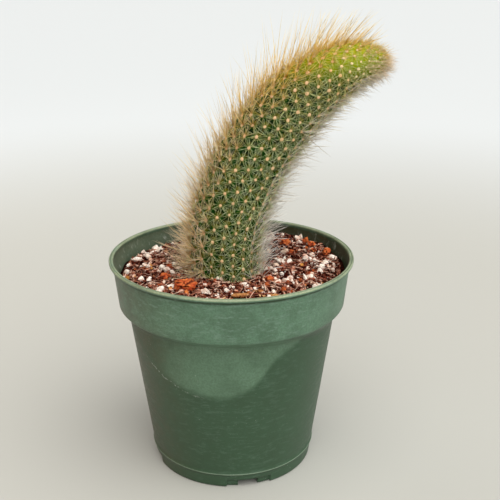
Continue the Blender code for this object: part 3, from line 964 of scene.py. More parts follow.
    def dent(self, angle: np.ndarray, height: np.ndarray) -> np.ndarray:
        """Give how far the wall is pushed in.

        Formula: nothing below the curved edge, then in proportion to the height above it, with
        the crease rounded over a short height, and back out again across the shoulder.
        """
        edge = self.dent_edge(angle)
        rise = np.minimum(height, self.shoulder_height) - edge
        soft = np.minimum(self.crease, 0.5 * (self.shoulder_height - edge) + 0.01 * MM)
        eased = np.where(rise < soft, np.maximum(rise + soft, 0.0) ** 2 / (4.0 * soft), rise)
        share = eased / (self.shoulder_height - self.dent_low)
        drop = (self.collar_foot_height - height)
        back_out = smooth_step(drop / (self.collar_foot_height - self.shoulder_height))
        inside = smooth_step((self.shoulder_height - edge) / (1.0 * MM))
        return self.dent_depth * share * back_out * inside

    def within(self, angle: np.ndarray, span: tuple[float, float]) -> np.ndarray:
        """Tell which angles lie in a span that repeats round the foot at every notch."""
        turn = 360.0 / self.notch_count
        place = (np.degrees(angle) - span[0]) % turn
        return place < span[1] - span[0]

    def patch(self) -> Patch:
        """Turn the profile, press in the dent and cut the notches and drains.

        Formula: point = (radius * cos, radius * sin, height), where the radius loses the dent
        and the recess, and the foot's height is lifted to the notch's top in an opening.

        Returns:
            The shell with its marks.
        """
        angle = self.angles()
        profile = self.profile()
        radius, height, inside = (profile[:, index, None] for index in range(3))
        on_foot = (radius > self.foot_radius - self.foot_ring_width - 0.1 * MM) & (inside < 0.5)
        low = on_foot & (height < self.notch_height + 0.01 * MM)
        outside = low & (radius > self.foot_radius - 0.6 * MM)
        dent = np.where(radius > self.foot_radius - 0.1 * MM, self.dent(angle, height), 0.0)
        reach = radius - dent
        reach = np.where(outside & self.within(angle, self.recess_span),
                         reach - self.recess_depth, reach)
        raised = np.where(low & self.within(angle, self.opening_span),
                          np.maximum(height, self.notch_height - 0.2 * MM), height + 0.0 * angle)
        grid = np.stack([reach * np.cos(angle), reach * np.sin(angle), raised], axis=-1)
        marks = self.marks(angle, radius, height, inside, dent)
        start = np.array((0.0, 0.0, 0.0))
        end = np.array((0.0, 0.0, self.floor_lift + self.floor_thickness))
        return self.cut_drains(turned_patch(grid, start, end, marks), angle, profile)

    def marks(self, angle: np.ndarray, radius: np.ndarray, height: np.ndarray,
              inside: np.ndarray, dent: np.ndarray) -> dict[str, np.ndarray]:
        """Work out the values that the finish reads at each grid point."""
        even = np.zeros(len(angle))
        top = self.height - self.rim_height
        # the collar, painted lighter than the body below it as light and shade
        collar = smooth_step((height - self.shoulder_height - 2.4 * MM) / (2.6 * MM))
        # the top of the lip bead, painted paler as a highlight
        lip = smooth_step((height - top - 0.55 * MM) / (0.4 * MM)) * (1.0 - inside)
        # painted shadow just under the lip's overhang
        corner = (smooth_step((height - top + 1.5 * MM) / (0.5 * MM))
                  * smooth_step((top + 0.35 * MM - height) / (0.4 * MM)) * (1.0 - inside))
        # painted shade in the groove round the lip's top as well
        lip_shade = np.maximum(corner, 0.8 * lip * self.groove(radius))
        # the dent's pale face: stress whitening and painted light, fading to the left where the dent
        # turns from the light
        pressed = smooth_step(dent / (0.3 * MM)) * (1.0 - inside)
        pressed = pressed * smooth_step((self.collar_foot_height - height) / (2.0 * MM))
        pressed = pressed * smooth_step((np.degrees(angle) + 143.0) / 26.0)
        rise = (height - self.dent_edge(angle)) / MM
        place = np.degrees(angle)
        creased = smooth_step((place + 150.0) / 14.0) * smooth_step((-104.0 - place) / 12.0)
        # a thin painted highlight along the ledge's upper edge
        ledge_highlight = np.isclose(height, self.ledge_height + 0.35 * MM) & (inside < 0.5)
        return {"collar": collar * (1.0 - inside) + even, "lip": lip + even,
                "dent": pressed + even, "inside": inside + even,
                "rise": np.clip(rise, -9.0, 9.0) * (1.0 - inside) + 9.0 * inside,
                "creased": creased * (1.0 - inside), "ledge": ledge_highlight + even,
                "lip_shade": lip_shade + even, "stain_and_shade": self.stain_and_shade_share(angle) + 0.0 * height}

    def stain_and_shade_share(self, angle: np.ndarray) -> np.ndarray:
        """Give 1 in the middle of the pot's browner side, with painted shade, warm reflection and some
        soil staining, and 0 away from it.
        """
        away = np.abs((np.degrees(angle) - self.stain_and_shade_side + 180.0) % 360.0 - 180.0)
        return smooth_step(1.0 - away / self.stain_and_shade_reach)

    def cut_drains(self, patch: Patch, angle: np.ndarray, profile: np.ndarray) -> Patch:
        """Open the floor drains: drop the floor's quads there and wall the holes.

        Args:
            patch: the closed shell.
            angle: the angle of each column.
            profile: the section that was turned.

        Returns:
            The shell with a walled hole through the floor at each notch.
        """
        columns = len(angle)
        quads = patch.faces[0]
        uv = patch.uv[:quads.size].reshape(-1, 4, 2)
        row, column = quads[:, 0] // columns, quads[:, 0] % columns
        at_drain = np.isclose(profile[:, 0], self.drain_radii[0])
        under, over = np.flatnonzero(at_drain)[0], np.flatnonzero(at_drain)[1] - 1
        span = (self.opening_span[0] + 1.0, self.opening_span[1] - 1.0)
        middle = 0.5 * (angle + np.roll(angle, -1))
        open_column = self.within(middle, span) & (np.abs(np.roll(angle, -1) - angle) < 1.0)
        hole = open_column[column] & ((row == under) | (row == over))
        first = np.flatnonzero(open_column & ~np.roll(open_column, 1))
        last = np.flatnonzero(open_column & ~np.roll(open_column, -1)) + 1
        runs = np.flatnonzero(open_column)
        near = np.stack([under * columns + runs + 1, under * columns + runs,
                         (over + 1) * columns + runs, (over + 1) * columns + runs + 1], axis=-1)
        far = np.stack([(under + 1) * columns + runs, (under + 1) * columns + runs + 1,
                        over * columns + runs + 1, over * columns + runs], axis=-1)
        left = np.stack([under * columns + first, (under + 1) * columns + first,
                         over * columns + first, (over + 1) * columns + first], axis=-1)
        right = np.stack([(under + 1) * columns + last, under * columns + last,
                          (over + 1) * columns + last, over * columns + last], axis=-1)
        walls = np.concatenate([near, far, left, right])
        spot = np.tile(np.array([(0.0, 0.0), (0.004, 0.0), (0.004, 0.004), (0.0, 0.004)]),
                       (len(walls), 1, 1))
        kept = np.concatenate([uv[~hole], spot]).reshape(-1, 2)
        return Patch(patch.points, [np.concatenate([quads[~hole], walls]), *patch.faces[1:]],
                     np.concatenate([kept, patch.uv[quads.size:]]), patch.marks)

    def build(self) -> None:
        """Add the pot to the scene."""
        add_piece("pot_shell", self.patch(), PotFinish().material(), ("nursery_pot",))


@dataclass
class Column:
    """The curved column: its axis, its radius and the lattice of areoles on its skin."""

    plane: float = 3.5 * MM
    curve: tuple[tuple[float, float], ...] = ((-1.0, 76.0), (-14.0, 126.5), (40.0, 181.0),
                                              (62.5, 172.0))  # x, z in mm
    root_length: float = 6.0 * MM
    radius: float = 15.0 * MM
    taper_length: float = 105.0 * MM
    taper_power: float = 2.4
    foot_length: float = 5.0 * MM
    foot_share: float = 0.75
    ribs: int = 21
    spirals: tuple[int, int] = (11, 10)
    pitch: float = 5.0 * MM
    crowding_start: float = 108.0 * MM
    crowding: float = 0.55
    first_areole: float = 38.8 * MM
    front_rib: float = math.radians(-86.0)
    twist_start: float = 80.0 * MM
    twist_rate: float = math.radians(0.6) / MM
    tubercle: float = 1.0 * MM
    cap: float = 2.0 * MM  # length of the blunt end, whose areoles follow a sunflower spiral
    cap_areoles: int = 24
    columns: int = 168
    rows: int = 230

    def __post_init__(self) -> None:
        """Tabulate the axis, its length and the areole rows along it."""
        share = np.linspace(0.0, 1.0, 401)[:, None]
        back = 1.0 - share
        flat = (back ** 3 * self.curve[0] + 3.0 * share * back ** 2 * self.curve[1]
                + 3.0 * share ** 2 * back * self.curve[2] + share ** 3 * self.curve[3]) * MM
        points = np.stack([flat[:, 0], np.full(len(flat), self.plane), flat[:, 1]], axis=-1)
        down = unit(points[0] - points[1])
        self.places = np.concatenate([[points[0] + down * self.root_length], points])
        steps = np.linalg.norm(np.diff(self.places, axis=0), axis=1)
        self.lengths = np.concatenate(([0.0], np.cumsum(steps)))
        self.length = float(self.lengths[-1])
        late = np.clip((self.lengths - self.crowding_start) / (self.length - self.crowding_start),
                       0.0, 1.0)
        local = self.pitch * (1.0 - self.crowding * late)
        counts = np.concatenate(([0.0], np.cumsum(steps / (0.5 * (local[1:] + local[:-1])))))
        self.row_counts = counts - np.interp(self.first_areole, self.lengths, counts)

    def frame_at(self, distance: np.ndarray) -> tuple[np.ndarray, np.ndarray, np.ndarray]:
        """Give the axis point at a distance, and the directions along it and out of its bend."""
        def place(at: np.ndarray) -> np.ndarray:
            return np.stack([np.interp(at, self.lengths, self.places[:, axis])
                             for axis in range(3)], axis=-1)
        along = unit(place(distance + MM) - place(distance - MM))
        outward = np.stack([-along[..., 2], np.zeros_like(distance), along[..., 0]], axis=-1)
        return place(distance), along, outward

    def radius_at(self, distance: np.ndarray) -> np.ndarray:
        """Give the radius along the column: even, then a superellipse down to the blunt tip."""
        from_tip = np.clip((self.length - distance) / self.taper_length, 0.0, 1.0)
        tip = (1.0 - (1.0 - from_tip) ** self.taper_power) ** (1.0 / self.taper_power)
        foot = blend(self.foot_share, 1.0, smooth_step(distance / self.foot_length))
        return self.radius * tip * foot

    def phases(self, angle: np.ndarray, distance: np.ndarray) -> tuple[np.ndarray, np.ndarray]:
        """Give the two spiral phases, both a multiple of a whole turn on every areole."""
        turned = angle - self.front_rib + self.twist_rate * np.maximum(
            distance - self.twist_start, 0.0)
        rise = TURN * np.interp(distance, self.lengths, self.row_counts)
        return rise + self.spirals[0] * turned, rise - self.spirals[1] * turned

    def nearness(self, angle: np.ndarray, distance: np.ndarray) -> np.ndarray:
        """Give 1 on an areole and down to 0 between them, by the two spirals' cosines."""
        left, right = self.phases(angle, distance)
        return 0.5 + 0.25 * (np.cos(left) + np.cos(right))

    def surface(self, angle: np.ndarray, distance: np.ndarray,
                lift: np.ndarray) -> tuple[np.ndarray, np.ndarray, np.ndarray]:
        """Give a point on the column, its outward normal and the direction towards the tip.

        Formula: point = axis point + (radius + lift) * direction at the angle, and the normal
        leans forward where the column tapers.
        """
        centre, along, outward = self.frame_at(distance)
        sideways = np.array((0.0, 1.0, 0.0))
        direction = (outward * np.cos(angle)[..., None] + sideways * np.sin(angle)[..., None])
        slope = (self.radius_at(distance + 0.3 * MM) - self.radius_at(distance - 0.3 * MM)) / (0.6 * MM)
        normal = unit(direction - along * slope[..., None])
        forward = unit(along + direction * slope[..., None])
        point = centre + direction * (self.radius_at(distance) + lift)[..., None]
        return point, normal, forward

    def areoles(self, lowest: float) -> tuple[np.ndarray, np.ndarray]:
        """List the angle and distance of every areole above a height of the axis.

        Args:
            lowest: distance along the axis below which none is made.

        Returns:
            Their angles round the column, 0 on the outside of the bend, and their distances.
        """
        rib, row = np.meshgrid(np.arange(self.ribs), np.arange(-22, 40), indexing="ij")
        count = row + rib * self.spirals[0] / self.ribs
        distance = np.interp(count, self.row_counts, self.lengths, left=-1.0, right=-1.0)
        twist = self.twist_rate * np.maximum(distance - self.twist_start, 0.0)
        angle = self.front_rib - rib * TURN / self.ribs - twist
        keep = (distance > lowest) & (distance < self.length - self.cap)
        number = np.arange(1.0, self.cap_areoles + 1.0)
        near_tip = self.length - np.linspace(0.0, self.cap, 60)
        cap_radius = float(self.radius_at(near_tip[-1:])[0])
        reach = cap_radius * np.sqrt((number - 0.5) / self.cap_areoles) * 0.96
        angle = np.concatenate([angle[keep], number * math.radians(137.508)])
        distance = np.concatenate([distance[keep],
                                   np.interp(reach, self.radius_at(near_tip), near_tip)])
        return (angle + math.pi) % TURN - math.pi, distance

    def skin(self) -> Patch:
        """Make the skin as rings of points, raised at the areoles.

        Returns:
            The closed skin with its marks: ridge, spot, youth and soiled.
        """
        share = np.linspace(0.0, 1.0, self.rows)
        distance = self.length * (1.0 - (1.0 - share) ** 1.15) * 0.9985
        distance, angle = np.meshgrid(distance, TURN * np.arange(self.columns) / self.columns,
                                      indexing="ij")
        near = self.nearness(angle, distance)
        scale = self.radius_at(distance) / self.radius
        lift = self.tubercle * scale * (near ** 1.3 - 0.75)
        points, _, _ = self.surface(angle, distance, lift)
        ahead = distance - 1.4 * MM * scale
        left, right = self.phases(angle, ahead)
        spot = smooth_step((0.5 + 0.25 * (np.cos(left) + np.cos(right)) - 0.62) / 0.3)
        crest = 0.5 + 0.5 * np.cos(angle)
        youth = smooth_step((distance - 101.0 * MM) / (26.0 * MM) + 1.3 * (crest - 0.62))
        # painted contact shade where the column meets the soil, with soil dirt
        foot_shade_and_dirt = 0.75 * smooth_step((19.0 * MM - distance) / (9.0 * MM))
        # the ridge mark sets where the valleys take painted shade
        marks = {"ridge": np.clip(near * 1.2 - 0.2, 0.0, 1.0) ** 1.4, "spot": spot, "youth": youth,
                 "foot_shade_and_dirt": foot_shade_and_dirt}
        start, _, _ = self.frame_at(np.array(0.0))
        end, _, _ = self.frame_at(np.array(self.length))
        return turned_patch(points[:, ::-1], start, end, {k: v[:, ::-1] for k, v in marks.items()})


def pick(values: np.ndarray, copies: int) -> np.ndarray:
    """Repeat each row of an array a number of times, for the hairs of one areole."""
    return np.repeat(values, copies, axis=0)


@dataclass
class Spines:
    """Everything that grows from the areoles: felt, radial spines, bristles, fur and tip hairs."""

    column: Column
    soil_line: float = 9.0 * MM  # distance along the axis where the soil starts to bury areoles
    felt_radius: float = 0.70 * MM
    radial_count: int = 22
    radial_length: float = 4.3 * MM
    radial_radius: float = 0.068 * MM
    wool_count: int = 13
    wool_length: float = 8.8 * MM
    wool_radius: float = 0.088 * MM
    tangle_count: int = 12
    tangle_end: float = 40.0 * MM
    bristle_count: int = 5
    bristle_length: float = 25.0 * MM
    bristle_radius: float = 0.088 * MM
    fur_count: int = 10
    fur_length: float = 12.0 * MM
    fur_radius: float = 0.10 * MM
    tip_count: int = 12
    tip_length: float = 6.2 * MM
    tip_start: float = 126.0 * MM

    def __post_init__(self) -> None:
        """Find every areole and the directions at it."""
        self.rng = np.random.default_rng(SEED)
        self.angle, self.distance = self.column.areoles(self.soil_line)
        self.scale = self.column.radius_at(self.distance) / self.column.radius
        lift = self.column.tubercle * self.scale * 0.25
        self.point, self.normal, self.forward = self.column.surface(self.angle, self.distance, lift)
        self.beside = np.cross(self.normal, self.forward)
        self.age = np.clip((self.column.length - self.distance) / (26.0 * MM), 0.0, 1.0)

    def felt(self) -> Patch:
        """Make the areoles' felt pads: low rough domes, a little longer up the column."""
        size = self.felt_radius * (0.55 + 0.45 * self.age)
        size = size * self.rng.uniform(0.85, 1.15, len(size))
        halves = np.stack([size * 1.1, size, size * 0.5], axis=-1)
        turns = np.stack([self.forward, self.beside, self.normal], axis=-1)
        turns[:, :, 1] *= np.sign(np.linalg.det(turns))[:, None]
        young = smooth_step((self.distance - 104.0 * MM) / (22.0 * MM))
        shades = np.clip(0.1 + 0.8 * young + self.rng.uniform(-0.1, 0.1, len(size)), 0.0, 1.0)
        grains = Grains(self.point + self.normal * 0.1 * MM, halves, turns, shades)
        return grains.patch(3, 8, 0.16, self.rng)

    def swept(self, chosen: np.ndarray, copies: int, lean: np.ndarray, spread: float,
              fan: float, curl: float) -> tuple[np.ndarray, np.ndarray, np.ndarray]:
        """Point hairs from chosen areoles towards the tip.

        Formula: way = normal * cos(lean) + forward * sin(lean) + beside * fan + a small random
        vector, each term random about its mean.

        Args:
            chosen: the areoles' numbers.
            copies: hairs from each.
            lean: mean lean towards the tip for each chosen areole, in radians.
            spread: standard deviation of the lean.
            fan: standard deviation of the sideways part.
            curl: standard deviation of the bend, as a share of the length.

        Returns:
            Roots, ways and bends.
        """
        count = len(chosen) * copies
        tilt = pick(lean, copies)[:, None] + self.rng.normal(0.0, spread, (count, 1))
        normal, forward, beside = (pick(a[chosen], copies)
                                   for a in (self.normal, self.forward, self.beside))
        aside = self.rng.normal(0.0, fan, (count, 1))
        jitter = self.rng.normal(0.0, 0.08, (count, 3))
        ways = unit(normal * np.cos(tilt) + forward * np.sin(tilt) + beside * aside + jitter)
        spot = self.rng.normal(0.0, 0.3 * MM, (count, 2))
        roots = (pick(self.point[chosen], copies) + forward * spot[:, :1] + beside * spot[:, 1:]
                 - normal * 0.15 * MM)
        bends = self.rng.normal(0.0, curl, (count, 3)) + forward * 0.04
        return roots, ways, bends

    def radials(self) -> Patch:
        """Make the fine spines that lie round each areole like a star."""
        count = len(self.angle) * self.radial_count
        kept = self.rng.uniform(0.0, 1.0, count) < pick(0.42 + 0.48 * self.age, self.radial_count)
        steps = np.tile(np.arange(self.radial_count), len(self.angle))
        turn = TURN * (steps + self.rng.uniform(-0.45, 0.45, count)) / self.radial_count
        rise = self.rng.uniform(0.04, 0.7, count)
        normal, forward, beside = (pick(a, self.radial_count)
                                   for a in (self.normal, self.forward, self.beside))
        flat = forward * np.cos(turn)[:, None] + beside * np.sin(turn)[:, None]
        ways = unit(flat * np.cos(rise)[:, None] + normal * np.sin(rise)[:, None])
        start = self.rng.uniform(0.35, 1.0, (count, 1)) * MM
        roots = pick(self.point, self.radial_count) + flat * start + normal * 0.05 * MM
        size = self.radial_length * (0.52 + 0.48 * self.age)
        lengths = pick(size, self.radial_count) * np.clip(self.rng.normal(1.0, 0.25, count), 0.45, 1.6)
        warm = pick(self.warmth(), self.radial_count)
        shades = np.clip(warm + self.rng.normal(0.0, 0.16, count), 0.0, 1.0)
        bends = normal * self.rng.normal(-0.05, 0.12, (count, 1)) + self.rng.normal(
            0.0, 0.2, (count, 3))
        radii = self.radial_radius * self.rng.uniform(0.6, 1.3, count)
        return Strands(roots[kept], ways[kept], bends[kept], lengths[kept], radii[kept],
                       shades[kept]).patch(2)

    def warmth(self) -> np.ndarray:
        """Give each areole's share of gold: high on the outside of the bend and near the tip."""
        crest = smooth_step((np.cos(self.angle) - 0.1) / 0.9)
        young = smooth_step((self.distance - 62.0 * MM) / (60.0 * MM))
        return np.clip(0.04 + 0.3 * young + crest * (0.45 + 0.45 * young), 0.0, 1.0)

    def crest_share(self) -> np.ndarray:
        """Give 1 on the outside of the bend and 0 on its flanks."""
        return smooth_step((np.cos(self.angle) - 0.42) / 0.5)

    def under_share(self) -> np.ndarray:
        """Give 1 on the inside of the bend and 0 on its flanks."""
        return smooth_step((-np.cos(self.angle) - 0.52) / 0.4)

    def hairs(self, chosen: np.ndarray, copies: int, lengths: np.ndarray, lean: np.ndarray,
              spreads: tuple[float, float], radius: float, shades: np.ndarray,
              rings: int = 3, curl: float = 0.07) -> Patch:
        """Make hairs on chosen areoles.

        Args:
            chosen: the areoles' numbers.
            copies: hairs from each.
            lengths: a length for every hair.
            lean: mean lean towards the tip for each chosen areole, in radians.
            spreads: standard deviations of the lean and of the sideways part.
            radius: mean radius at the root.
            shades: mean shade for each chosen areole.
            rings: sections along a hair.
            curl: how strongly the hairs bend.

        Returns:
            The hairs.
        """
        roots, ways, bends = self.swept(chosen, copies, lean, *spreads, curl)
        count = len(roots)
        tones = np.clip(pick(shades, copies) + self.rng.normal(0.0, 0.16, count), 0.0, 1.0)
        radii = radius * self.rng.uniform(0.7, 1.3, count)
        return Strands(roots, ways, bends, lengths, radii, tones).patch(rings)

    def wool(self) -> Patch:
        """Make the dense short golden hairs on the outside of the bend."""
        share = self.crest_share()
        chosen = np.flatnonzero(share > 0.02)
        share, distance = share[chosen], self.distance[chosen]
        along = np.interp(distance, np.array((9.0, 24.0, 60.0, 100.0, 113.0, 122.0, 130.0)) * MM,
                          (1.25, 1.05, 0.95, 1.05, 0.85, 0.45, 0.25))
        size = self.rng.uniform(0.4, 1.3, len(chosen) * self.wool_count)
        lengths = self.wool_length * size * pick(along * (0.45 + 0.55 * share), self.wool_count)
        lean = np.interp(distance, np.array((9.0, 25.0, 60.0, 100.0, 130.0)) * MM,
                         (0.25, 0.5, 0.75, 0.85, 0.5))
        gold = smooth_step((distance - 45.0 * MM) / (60.0 * MM))
        return self.hairs(chosen, self.wool_count, lengths, lean, (0.42, 0.42), self.wool_radius,
                          0.12 + 0.76 * gold)

    def tangle(self) -> Patch:
        """Make the curly golden tangle on the outside of the column's foot."""
        low = smooth_step((self.tangle_end - self.distance) / (12.0 * MM))
        chosen = np.flatnonzero((self.crest_share() > 0.1) & (low > 0.0))
        size = self.rng.uniform(0.5, 1.2, len(chosen) * self.tangle_count)
        lengths = 8.2 * MM * size * pick(0.5 + 0.5 * low[chosen], self.tangle_count)
        return self.hairs(chosen, self.tangle_count, lengths, np.full(len(chosen), 0.2), (0.7, 0.8),
                          0.10 * MM, np.full(len(chosen), 0.2), 4, 0.34)

    def bristles(self) -> Patch:
        """Make the long straight bristles along the crest of the bend."""
        crest = np.cos(self.angle)
        chosen = np.flatnonzero((crest > 0.82) & (self.distance < 129.0 * MM))
        distance = self.distance[chosen]
        along = np.interp(distance, np.array((9.0, 30.0, 60.0, 85.0, 104.0, 118.0, 129.0)) * MM,
                          (0.62, 0.66, 0.74, 0.90, 1.02, 0.85, 0.42))
        size = self.rng.uniform(0.45, 1.12, len(chosen) * self.bristle_count)
        lengths = self.bristle_length * size * pick(along, self.bristle_count)
        lean = np.interp(distance, np.array((9.0, 40.0, 85.0, 105.0, 129.0)) * MM,
                         (0.5, 0.7, 0.82, 0.9, 0.72))
        gold = smooth_step((distance - 45.0 * MM) / (60.0 * MM))
        return self.hairs(chosen, self.bristle_count, lengths, lean, (0.16, 0.16),
                          self.bristle_radius, 0.3 + 0.6 * gold, 4)

    def fur(self) -> Patch:
        """Make the dense pale fur of the inside of the bend, swept towards the tip."""
        share = self.under_share()
        chosen = np.flatnonzero(share > 0.02)
        share, distance = share[chosen], self.distance[chosen]
        along = np.interp(distance, np.array((9.0, 40.0, 90.0, 130.0)) * MM, (1.1, 1.0, 0.95, 0.5))
        size = self.rng.uniform(0.35, 1.2, len(chosen) * self.fur_count)
        lengths = self.fur_length * size * pick(along * (0.5 + 0.5 * share), self.fur_count)
        lean = np.interp(distance, np.array((9.0, 60.0, 130.0)) * MM, (0.75, 0.85, 0.8))
        frost = np.interp(distance, np.array((9.0, 45.0, 90.0)) * MM, (0.95, 0.75, 0.35))
        return self.hairs(chosen, self.fur_count, lengths, lean, (0.35, 0.4), self.fur_radius, frost)

    def flank_spines(self) -> Patch:
        """Make the few short central spines of the flanks, which stand out from the skin."""
        share = 1.0 - np.maximum(self.crest_share(), self.under_share())
        chosen = np.flatnonzero(share > 0.25)
        copies = 3
        size = 3.4 * MM * (0.5 + 0.5 * self.age[chosen])
        lengths = pick(size, copies) * self.rng.uniform(0.6, 1.4, len(chosen) * copies)
        return self.hairs(chosen, copies, lengths, np.full(len(chosen), 0.3), (0.5, 0.5),
                          0.07 * MM, self.warmth()[chosen] + 0.05)

    def tip_hairs(self) -> Patch:
        """Make the short pinkish fuzz that covers the young tip and reaches past it."""
        chosen = np.flatnonzero(self.distance > self.tip_start)
        distance = self.distance[chosen]
        close = smooth_step((distance - self.tip_start) / (self.column.length - self.tip_start))
        size = self.rng.uniform(0.4, 1.2, len(chosen) * self.tip_count)
        lengths = self.tip_length * size * pick(0.7 + 0.3 * close, self.tip_count)
        lean = 0.75 - 0.45 * close
        upper = smooth_step((np.cos(self.angle[chosen]) - 0.1) / 0.8) * (1.0 - close)
        return self.hairs(chosen, self.tip_count, lengths, lean, (0.35, 0.4), 0.048 * MM,
                          0.08 + 0.85 * upper)

    def build(self) -> None:
        """Add felt and hairs to the scene."""
        felt = GrainFinish("areole_felt", ((0.0, (0.86, 0.58, 0.35)), (0.45, (0.88, 0.54, 0.25)),
                                           (1.0, (0.97, 0.86, 0.54))), 1.0)
        add_piece("areole_felt", self.felt(), felt.material())
        pale = StrandFinish("pale_spines",
                            ((0.0, (0.46, 0.42, 0.14)), (0.25, (0.68, 0.80, 0.38)),
                             (1.0, (0.94, 0.98, 0.66))),
                            ((0.0, (0.90, 0.44, 0.02)), (0.3, (0.94, 0.66, 0.08)),
                             (1.0, (0.97, 0.84, 0.26))))
        add_piece("radial_spines", self.radials(), pale.material())
        add_piece("flank_spines", self.flank_spines(), pale.material())
        gold = StrandFinish("golden_bristles",
                            ((0.0, (0.94, 0.62, 0.28)), (0.35, (0.96, 0.75, 0.47)),
                             (1.0, (0.98, 0.88, 0.72))),
                            ((0.0, (0.98, 0.50, 0.06)), (0.35, (0.99, 0.64, 0.12)),
                             (1.0, (0.98, 0.82, 0.42))), 0.42)
        add_piece("golden_wool", self.wool(), gold.material())
        add_piece("golden_bristles", self.bristles(), gold.material())
        add_piece("golden_tangle", self.tangle(), gold.material())
        fur = StrandFinish("pale_fur",
                           ((0.0, (0.72, 0.56, 0.30)), (0.3, (0.88, 0.76, 0.54)),
                            (1.0, (0.96, 0.90, 0.78))),
                           ((0.0, (0.94, 0.82, 0.64)), (0.3, (0.97, 0.91, 0.82)),
                            (1.0, (0.98, 0.95, 0.90))))
        add_piece("pale_fur", self.fur(), fur.material())
        fuzz = StrandFinish("tip_fuzz",
                            ((0.0, (0.66, 0.46, 0.14)), (0.4, (0.88, 0.66, 0.42)),
                             (1.0, (0.96, 0.80, 0.66))),
                            ((0.0, (0.80, 0.58, 0.10)), (0.4, (0.94, 0.80, 0.32)),
                             (1.0, (0.98, 0.90, 0.60))))
        add_piece("tip_fuzz", self.tip_hairs(), fuzz.material())


